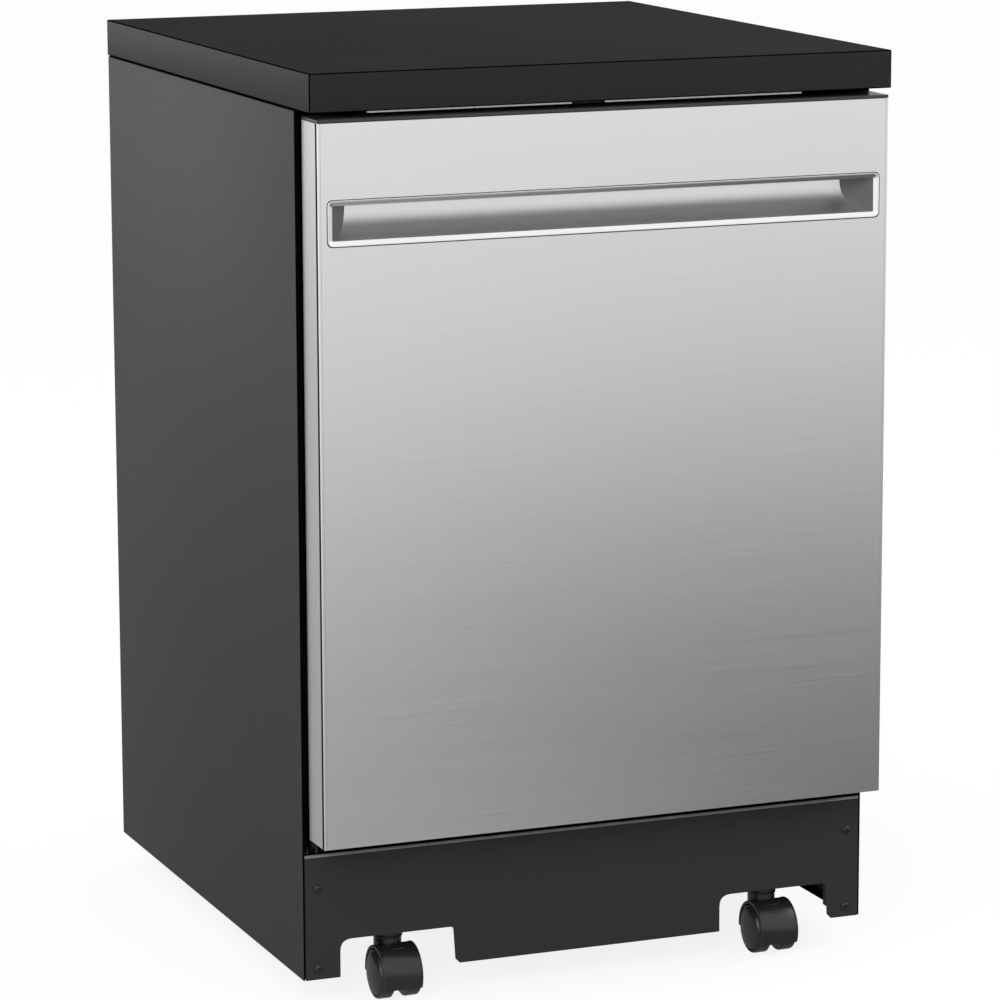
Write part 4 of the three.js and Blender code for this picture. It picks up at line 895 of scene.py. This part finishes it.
def make_tub():
    """The tub with pressed ribs, and the bright flange strips above the door."""
    def ribs(bm):
        for z in (260, 330, 400, 470, 560, 740, 800):
            for start, end in ((-240, -18), (18, 240)):
                add_prism(bm, rib(TUB_BACK, z, (0, -1.1, -1.3), (4, 2.4)), "x", start, end)
        for sign in SIGNS:
            for y in range(-200, 250, 50):
                for start, end in ((700, 850), (250, 600)):
                    wall = rib(sign * TUB_SIDE, y, (0, sign * -1.5, sign * -1.7), (4, 2.2))
                    add_prism(bm, wall, "z", start, end)

    refined("tub", "grey_plastic", bevel=1.0, segments=3, extra=ribs)
    refined("tub_seal", "gasket_rubber", bevel=1.5, segments=3)
    refined("latch_strike", "black_plastic", bevel=0.4)
    strips = bmesh.new()
    outline = [(-273.35, 880.8), (-273.1, 880.5), (-272.45, 880.5), (-272.45, 888.8), (-272.5, 888.8),
               (-272.58, 888.6)]
    for sign in SIGNS:
        add_prism(strips, outline, "x", sign * 17.4, sign * 229.5)
    piece("tub_flange_strips", strips, "cabinet", "polished_trim", sharp=30, material=STRIP)


def make_water_parts():
    refined("sump", "black_plastic", bevel=0.8)
    make_filter()
    make_heater()
    make_pumps()
    make_inlet_valve()
    refined("spray_feed_tube", "grey_plastic", bevel=2.0, segments=3)
    make_arm("lower_spray_arm", 230, 22)
    make_arm("upper_spray_arm", 215, 20)
    make_float()


def make_float():
    """A stem under a domed cap with a groove round it."""
    low, high = node_box("overflow_float")
    x, y, _ = middle_of(low, high)
    cap_height = 24
    cap = [(0, 3.5), (0, 18.6), (1, 20), (11.4, 20), (11.8, 19.5), (12.6, 19.5), (13, 20), (16.5, 19.7),
           (20, 16.8), (22.6, 12.2), (23.8, 7)]
    profile = (shifted(low.z, [(0, 0), (0.2, 3.0), (1, 3.5)]) + shifted(high.z - cap_height, cap)
               + [(high.z, 3), (high.z, 0)])
    bm = bmesh.new()
    add_lathe(bm, profile, "z", (x, y, 0), steps=44)
    shape("overflow_float", bm, "grey_plastic", sharp=40)


def make_filter():
    """A flat screen with rings and spokes, and a cup with a lattice wall and a cross grip."""
    low, high = node_box("filter")
    cup_y = MIDDLE_Y - 39.5
    screen, screen_top = 177.6, 178.7
    spokes, cup_radius, grip = 24, 24, 20

    def lattice(bm):
        for x in range(-54, 55, 6):
            add_box(bm, x - 0.5, x + 0.5, MIDDLE_Y + 14, MIDDLE_Y + 72, screen, screen_top)
        for y in range(10, 67, 6):
            add_box(bm, -56, 56, y - 0.5, y + 0.5, screen + 0.2, screen_top + 0.2)
        spoke = [(low.z + 1, 0.5), (low.z + 2, 0.8), (175.4, 0.8), (175.6, 0.5)]
        for c, s in around(spokes):
            add_lathe(bm, spoke, "z", (cup_radius * c, cup_y + cup_radius * s, 0), steps=6)
        for x, y in ((grip, 1.4), (1.4, grip)):
            add_box(bm, -x, x, cup_y - y, cup_y + y, high.z - 7, high.z - 1)

    refined("filter", "grey_plastic", bevel=0.35, extra=lattice)


def make_heater():
    """The heating tube: a ring that is open at one side, its two ends turned down, and their collars."""
    low, high = node_box("heating_element")
    height, radius, tube, opening, steps = high.z - 4, 180.0, 3.5, 0.35, 120
    angles = [opening + (TAU - 2 * opening) * i / steps for i in range(steps + 1)]
    ring = [Vector((radius * cos(a), MIDDLE_Y + radius * sin(a), height)) for a in angles]
    drop = Vector((0, 0, low.z - height))
    path = bend([ring[0] + drop, ring[0]] + ring[3:-3] + [ring[-1], ring[-1] + drop], 4)
    collar = shifted(low.z, [(0, 5.3), (3.6, 5.4), (4.4, 4.8), (4.8, 3.4)])
    bm = bmesh.new()
    add_wire(bm, path, tube, facets=16)
    for end in (ring[0], ring[-1]):
        add_lathe(bm, collar, "z", (end.x, end.y, 0), steps=24)
    shape("heating_element", bm, "zinc_steel", sharp=45)


# Node, radius, the way it points along X, and slot.
PUMPS = (("wash_pump", 32, 1, "zinc_steel"), ("drain_pump", 24, -1, "black_plastic"))


def make_pumps():
    """The motors: finned cans with an end bell and a spout to the sump."""
    fin_pitch, first_fin, bell = 6.4, 18.0, 16
    for node, radius, sign, slot in PUMPS:
        low, high = node_box(node)
        _, y, z = middle_of(low, high)
        near, far = (low.x, high.x) if sign > 0 else (high.x, low.x)
        bm = bmesh.new()
        spout = radius * 0.4
        mouth = shifted(near, [(0, spout - 1), (1, spout), (13, spout), (13, spout - 3)], sign)
        add_lathe(bm, mouth, "x", (0, y, z), steps=32)
        start = near + sign * 12
        length = abs(far - start)
        root, crest = radius - 2, radius - 0.3
        profile = [(0, spout), (0.4, radius - 4), (1.6, root), (9, radius - 1.4), (10, radius), (14, radius),
                   (15, root)]
        at = first_fin
        while at < length - bell:
            profile += [(at, root), (at + 0.6, crest), (at + 2.6, crest), (at + 3.2, root)]
            at += fin_pitch
        profile += shifted(length, [(-12, root), (-11, crest), (-8, crest), (-6, radius - 3),
                                    (-1, radius - 9), (-0.4, 8), (0, 7), (0, 0)])
        add_lathe(bm, shifted(start, profile, sign), "x", (0, y, z), steps=56)
        shape(node, bm, slot, sharp=38)


def make_inlet_valve():
    low, high = node_box("inlet_valve")

    def coil(bm):
        """A ring round the solenoid and ribs along its body."""
        x, z, y = (low.x + high.x) / 2 + 6, low.z + 17, low.y
        add_lathe(bm, [(y - 0.2, 7), (y + 0.4, 8), (y + 2.4, 8), (y + 2.4, 3)], "y", (x, 0, z), steps=28)
        for i in range(5):
            foot = low.z + 4 + 5.6 * i
            add_box(bm, low.x + 2, high.x - 2, y - 0.5, y + 0.6, foot, foot + 2)

    refined("inlet_valve", "grey_plastic", bevel=0.9, extra=coil)


def make_arm(node, length, hub):
    """A spray arm: a lens-shaped blade with raised edges and jets, swelling into a domed hub."""
    low, high = node_box(node)
    middle, bottom = (low.y + high.y) / 2, low.z
    thick, end, steps, facets = 10.0, 9.8, 72, 20
    bm = bmesh.new()
    rings = []
    for i in range(steps + 1):
        share = -1 + 2 * i / steps
        x = share * length
        tip = max(0.0, (abs(x) - (length - end)) / end)
        half = 13.9 - 4.0 * abs(share) ** 1.5
        half *= sqrt(max(0.02, 1 - tip ** 2))
        ring = []
        for c, s in around(facets):
            u = half * copysign(abs(c) ** 0.55, c)
            v = thick / 2 * 0.98 * copysign(abs(s) ** 0.7, s) * sqrt(max(0.05, 1 - tip ** 2))
            ring.append((x, middle + u, bottom + thick / 2 + v))
        rings.append(ring)
    skin(bm, rings)
    dome = shifted(bottom, [(0, hub - 3), (0.6, hub - 1), (2, hub), (9, hub), (11, hub - 1.5)])
    dome += shifted(high.z, [(-0.8, hub - 5), (0, hub - 7), (0, 3.2), (-2, 3.0), (-2, 0)])
    add_lathe(bm, dome, "z", (0, middle, 0), steps=48)
    jet = shifted(bottom + thick - 0.9, [(0, 4.4), (1.0, 4.0), (1.5, 3.2), (1.5, 1.4), (0.2, 1.1), (0.2, 0)])
    for sign in SIGNS:
        for k, x in enumerate((52, 84, 116, 148, 178, 202)):
            if x > length - 10:
                continue
            y = middle + sign * (5.5 if k % 2 else -3.5)
            add_lathe(bm, jet, "z", (sign * x, y, 0), steps=18)
    shape(node, bm, "grey_plastic", sharp=36)


# ---- racks
RACK_FRONT, RACK_BACK = -243.4, 238.6
WIRE = 2.0
THIN = 1.45
TINE = 1.2
TINE_ENDS = 205
COLUMNS, ROWS = 20, 15  # spaces between the floor's wires


def rack_wires(bm, half, bottom, height):
    """Rounded rims, a floor of U-shaped wires both ways, and the uprights that they turn into."""
    front, back = RACK_FRONT + WIRE, RACK_BACK - WIRE
    side, floor, top = half - WIRE, bottom + WIRE, bottom + height - WIRE
    for z, r in ((top, WIRE), (bottom + height / 2 + WIRE, THIN), (floor, WIRE)):
        corners = [(-side, front, z), (side, front, z), (side, back, z), (-side, back, z)]
        add_wire(bm, bend(corners, 14, steps=6, closed=True), r, facets=10, closed=True)
    for i in range(1, COLUMNS):
        x = -side + 2 * side * i / COLUMNS
        path = bend([(x, front, top), (x, front, floor), (x, back, floor), (x, back, top)], 8, steps=3)
        add_wire(bm, path, WIRE if i % 4 == 0 else THIN)
    under = floor - 0.6
    for i in range(1, ROWS):
        y = front + (back - front) * i / ROWS
        path = bend([(-side, y, top), (-side, y, under), (side, y, under), (side, y, top)], 8, steps=3)
        add_wire(bm, path, WIRE if i % 3 == 0 else THIN)


def tine_row(bm, x, pitch, floor, height, lean):
    """A row of hairpin tines that all stand on one rod."""
    rod = floor + 2.6
    add_wire(bm, [Vector((x, -TINE_ENDS - 6, rod)), Vector((x, TINE_ENDS + 6, rod))], THIN)
    count = int(2 * TINE_ENDS / pitch)
    for i in range(count + 1):
        y = -TINE_ENDS + 2 * TINE_ENDS * i / count
        path = bend([(x - TINE, y, rod), (x - TINE + lean, y, floor + height),
                     (x + TINE + lean, y, floor + height), (x + TINE, y, rod)], 1.2, steps=3)
        add_wire(bm, path, TINE, facets=6)


def make_racks():
    make_upper_rack()
    make_lower_rack()
    make_rack_wheels()
    make_rails()
    make_basket()


def make_upper_rack():
    """The cup rack, with the strips that hang it on its rails and the upper arm's feed pipe."""
    bm = bmesh.new()
    rack_wires(bm, 250, 525, 140)
    for x in (-186, -124, -62, 62, 124, 186):
        tine_row(bm, x, 27.5, 526, 62, 8 if x > 0 else -8)
    for sign in SIGNS:
        hanger = [(sign * u, v) for u, v in ((248, 637), (259, 636.2), (260.6, 637.4), (260.6, 642.6),
                                             (259, 643.8), (248, 643))]
        add_prism(bm, hanger, "y", RACK_FRONT + 20, RACK_BACK - 20)
    pipe = rounded_rectangle(9, 5, 3.4, 4, cv=520)
    add_prism(bm, pipe, "y", MIDDLE_Y, node_box("upper_rack")[1].y)
    hub = [(515, 15), (515.4, 18.6), (517, 19.8), (522, 19.8), (524.4, 18), (525, 12)]
    add_lathe(bm, hub, "z", (0, MIDDLE_Y, 0), steps=40)
    shape("upper_rack", bm, "coated_wire", sharp=48)


def make_lower_rack():
    """The plate rack, with a tab and an axle for each roller."""
    bm = bmesh.new()
    rack_wires(bm, 245, 231.3, 148.7)
    for x in (-196, -150, -104, -58, -12, 34, 80, 126):
        tine_row(bm, x, 24, 232.5, 78, 10)
    for sign in SIGNS:
        for end in ENDS:
            _, y, z = middle_of(*node_box(f"rack_wheel_left_{end}"))
            tab = [(y - 6, z - 5), (y + 6, z - 5), (y + 6, 234), (y - 6, 234)]
            add_prism(bm, tab, "x", sign * 241.4, sign * 246.4)
            add_lathe(bm, [(sign * 244, 3), (sign * 260.4, 3), (sign * 260.9, 2.4)], "x", (0, y, z), steps=16)
    shape("lower_rack", bm, "coated_wire", sharp=48)


# A roller from its inner face outwards: place along the axle and radius.
ROLLER = [(0, 3.5), (0, 6.4), (1.6, 7.2), (1.8, 11.4), (0.4, 12.2), (0.1, 13.8), (0.9, 15), (4.9, 15),
          (5.5, 14.4), (6.1, 15), (10.1, 15), (10.9, 13.8), (10.6, 12.2), (9.2, 11.4), (9.4, 7.2), (11, 6.4),
          (11, 3.5)]
BOSSES, BOSS_CIRCLE = 5, 9.3  # how many, and the radius they stand on


def make_rack_wheels():
    """Rollers with a grooved tyre, a dished web and a circle of raised bosses."""
    for side, sign in SIDES.items():
        for end in ENDS:
            node = f"rack_wheel_{side}_{end}"
            low, high = node_box(node)
            centre = (low + high) / 2
            centre.x = 0
            inner, outer = (high.x, low.x) if sign < 0 else (low.x, high.x)
            bm = bmesh.new()
            add_ring(bm, shifted(inner, ROLLER, sign), "x", centre, steps=44)
            boss = shifted(outer, [(-2.0, 1.7), (-0.9, 1.7), (-0.6, 1.3), (-0.6, 0)], sign)
            for c, s in around(BOSSES):
                add_lathe(bm, boss, "x", centre + Vector((0, BOSS_CIRCLE * c, BOSS_CIRCLE * s)), steps=14)
            shape(node, bm, "grey_plastic", sharp=40)


def make_rails():
    """Telescoping rails with a C profile and stops at both ends."""
    wall, stop = 1.4, 3
    for side, s in SIDES.items():
        node = f"upper_rail_{side}"
        low, high = node_box(node)
        inner, outer = (low.x, high.x) if s > 0 else (high.x, low.x)
        web = outer - s * wall
        outline = [(outer, low.z + 1), (outer - s, low.z), (inner, low.z), (inner, low.z + wall),
                   (web, low.z + wall), (web, high.z - wall), (inner, high.z - wall), (inner, high.z),
                   (outer - s, high.z), (outer, high.z - 1)]
        bm = bmesh.new()
        add_prism(bm, outline, "y", low.y, high.y)
        for y in (low.y, high.y - stop):
            add_box(bm, inner, outer - s * 1.2, y, y + stop, low.z + 1.2, low.z + 3.4)
        shape(node, bm, "zinc_steel", bevel=0.3)


BASKET_WALL = 2.5
SLAT_PITCH = 8.6


def lattice_wall(bm, start, along, length, bottom, top):
    """A moulded basket wall: bands at its foot, middle and rim, and slats between them."""
    across = Vector((-along.y, along.x, 0)) * BASKET_WALL / 2

    def slab(a, b, z0, z1, depth):
        p, q = start + along * a, start + along * b
        corners = [p - across * depth, p + across * depth, q + across * depth, q - across * depth]
        skin(bm, [[Vector((c.x, c.y, z)) for c in corners] for z in (z0, z1)])

    slab(0, length, bottom, bottom + 14, 1)
    slab(0, length, top - 9, top, 1)
    slab(0, length, (bottom + top) / 2 - 3, (bottom + top) / 2 + 3, 0.9)
    count = max(2, round(length / SLAT_PITCH))
    for i in range(count + 1):
        middle = length * i / count
        slab(max(0, middle - 1.5), min(length, middle + 1.5), bottom, top, 0.8)


def make_basket():
    """The silverware basket: lattice walls, dividers, a grid floor and a bail handle."""
    low, high = node_box("silverware_basket")
    top, half_wall, cells, bars, slats = high.z - 40, BASKET_WALL / 2, 3, 9, 31
    bm = bmesh.new()
    x0, x1, y0, y1 = low.x + half_wall, high.x - half_wall, low.y + half_wall, high.y - half_wall
    for x in (x0, x1):
        lattice_wall(bm, Vector((x, y0, 0)), Vector((0, 1, 0)), y1 - y0, low.z, top)
    for i in range(cells + 1):
        rim = top if i in (0, cells) else top - 6
        start = Vector((x0, y0 + (y1 - y0) / cells * i, 0))
        lattice_wall(bm, start, Vector((1, 0, 0)), x1 - x0, low.z, rim)
    for i in range(1, bars):
        x = x0 + (x1 - x0) * i / bars
        add_box(bm, x - 1, x + 1, y0, y1, low.z, low.z + 2.4)
    for i in range(1, slats):
        y = y0 + (y1 - y0) * i / slats
        add_box(bm, x0, x1, y - 1, y + 1, low.z + 0.2, low.z + 2.2)
    middle = (low.y + high.y) / 2
    for x in (x0, x1):
        add_box(bm, x - 1.2, x + 1.2, middle - 10, middle + 10, low.z, high.z - 9)
    grip = rounded_rectangle(10, 4.4, 4, 5, cu=middle, cv=high.z - 4.5)
    add_prism(bm, grip, "x", low.x, high.x)
    shape("silverware_basket", bm, "grey_plastic", bevel=0.35)


# ---- hinges and springs
def make_hinges():
    for side in SIDES:
        # The arms and links take a zinc darker than their zinc_steel slot.
        refined(f"hinge_arm_{side}", "zinc_steel", bevel=0.5, material=DARK_ZINC)
        refined(f"spring_link_{side}", "zinc_steel", bevel=0.4, material=DARK_ZINC)


def make_springs():
    """Close-wound extension springs."""
    wire, turns, per_turn = 0.85, 34, 16
    steps = turns * per_turn
    for side in SIDES:
        node = f"counter_spring_{side}"
        low, high = node_box(node)
        centre = (low + high) / 2
        radius = (high.x - low.x) / 2 - wire
        height = high.z - low.z - 2 * wire
        path = [Vector((centre.x + radius * cos(TAU * i / per_turn),
                        centre.y + radius * sin(TAU * i / per_turn),
                        low.z + wire + height * i / steps))
                for i in range(steps + 1)]
        bm = bmesh.new()
        add_wire(bm, path, wire, facets=7)
        coil = piece(f"{node}_coil", bm, None, "spring_steel", (node,), sharp=60)
        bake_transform(coil)


# ---- studio
FLOOR_SIZE = 60.0
SKY_LIGHT = 0.55  # the world's light on matt surfaces
FLOOR_GLOW, FLOOR_SHADE, FLOOR_BOUNCE = 0.86, 0.22, 0.62
# Painted dark reflections: pools that only metal and gloss see. Centre, radius of the darkest part, radius
# where the floor is white again, the darkest value, and the power of the curve between them.
PAINTED_REFLECTION_POOLS = (((1.8, -1.3, 0), 1.35, 3.0, 0.05, 0.7), ((-1.6, 2.4, 0), 1.6, 6.0, 0.48, 1.0),
         ((-0.5, 0.4, 0), 0.3, 1.8, 0.75, 1.0), ((-4.5, -0.8, 0), 0.8, 2.6, 0.25, 1.0))
LAMP_SIZE = 2.4
# Place, the point it shines at, and power in watts.
LAMPS = {"side": ((-4.0, 0.5, 1.2), (-0.3, 0, 0.5), 34),
         "front": ((-2.4, -3.6, 2.6), (0, 0, 0.4), 52),
         "right": ((3.6, -0.6, 2.6), (0, 0, 0.4), 30)}


def make_world():
    world = bpy.data.worlds.new("studio")
    bpy.context.scene.world = world
    world.use_nodes = True
    graph = Graph(world.node_tree)
    rays = graph.ray_kinds("Is Camera Ray", "Is Glossy Ray", "Is Transmission Ray")
    strength = graph.add("MapRange", {"Value": rays, "To Min": SKY_LIGHT, "To Max": 1.0})
    background = world.node_tree.nodes["Background"]
    graph.put((1, 1, 1, 1), background.inputs["Color"])
    graph.put(strength.outputs["Result"], background.inputs["Strength"])


def painted_reflection_level(graph):
    """How bright the floor is in metal: white, less the painted dark pools."""
    place = graph.add("TexCoord").outputs["Object"]
    level = None
    for centre, near, far, darkest, power in PAINTED_REFLECTION_POOLS:
        away = graph.add("VectorMath", {0: place, 1: centre}, operation="DISTANCE")
        fall = graph.add("MapRange", {"Value": away.outputs["Value"], "From Min": near, "From Max": far,
                                      "To Min": darkest})
        curve = graph.calculate("POWER", fall.outputs["Result"], power)
        level = graph.calculate("MULTIPLY", level, curve) if level else curve
    return level


def make_floor():
    mesh = bpy.data.meshes.new("floor")
    h = FLOOR_SIZE / 2
    mesh.from_pydata([(-h, -h, 0), (h, -h, 0), (h, h, 0), (-h, h, 0)], [], [(0, 1, 2, 3)])
    floor = bpy.data.objects.new("floor", mesh)
    bpy.context.scene.collection.objects.link(floor)
    material = bpy.data.materials.new("studio floor")
    material.use_nodes = True
    material.node_tree.nodes.clear()
    graph = Graph(material.node_tree)

    def matt(value):
        return graph.add("BsdfDiffuse", {"Color": (*grey(value), 1)}).outputs[0]

    def glow(strength):
        return graph.add("Emission", {"Strength": strength}).outputs[0]

    # What the camera sees: white, with the soft shadow of the machine.
    seen = graph.add("AddShader", {0: glow(FLOOR_GLOW), 1: matt(FLOOR_SHADE)}).outputs[0]
    # What metal shows is the floor with its painted dark pools of reflection, and all else gets a plain
    # bounce.
    kinds = graph.ray_kinds("Is Glossy Ray")
    unseen = graph.add("MixShader", {0: kinds, 1: matt(FLOOR_BOUNCE), 2: glow(painted_reflection_level(graph))})
    kinds = graph.ray_kinds("Is Camera Ray", "Is Transmission Ray")
    final = graph.add("MixShader", {0: kinds, 1: unseen.outputs[0], 2: seen})
    graph.add("OutputMaterial", {"Surface": final.outputs[0]})
    mesh.materials.append(material)


def make_light(name, place, target, power):
    data = bpy.data.lights.new(name, "AREA")
    data.shape = "DISK"
    data.size = LAMP_SIZE
    data.energy = power
    lamp = bpy.data.objects.new(name, data)
    lamp.location = place
    lamp.rotation_mode = "QUATERNION"
    lamp.rotation_quaternion = (Vector(target) - Vector(place)).to_track_quat("-Z", "Y")
    bpy.context.scene.collection.objects.link(lamp)


def make_studio():
    bpy.context.scene.view_settings.view_transform = "Standard"
    make_world()
    make_floor()
    for name, (place, target, power) in LAMPS.items():
        make_light(name, place, target, power)


make_cabinet()
make_toe_panel()
make_screws()
make_door()
make_casters()
make_tub()
make_water_parts()
make_racks()
make_hinges()
make_springs()
make_studio()
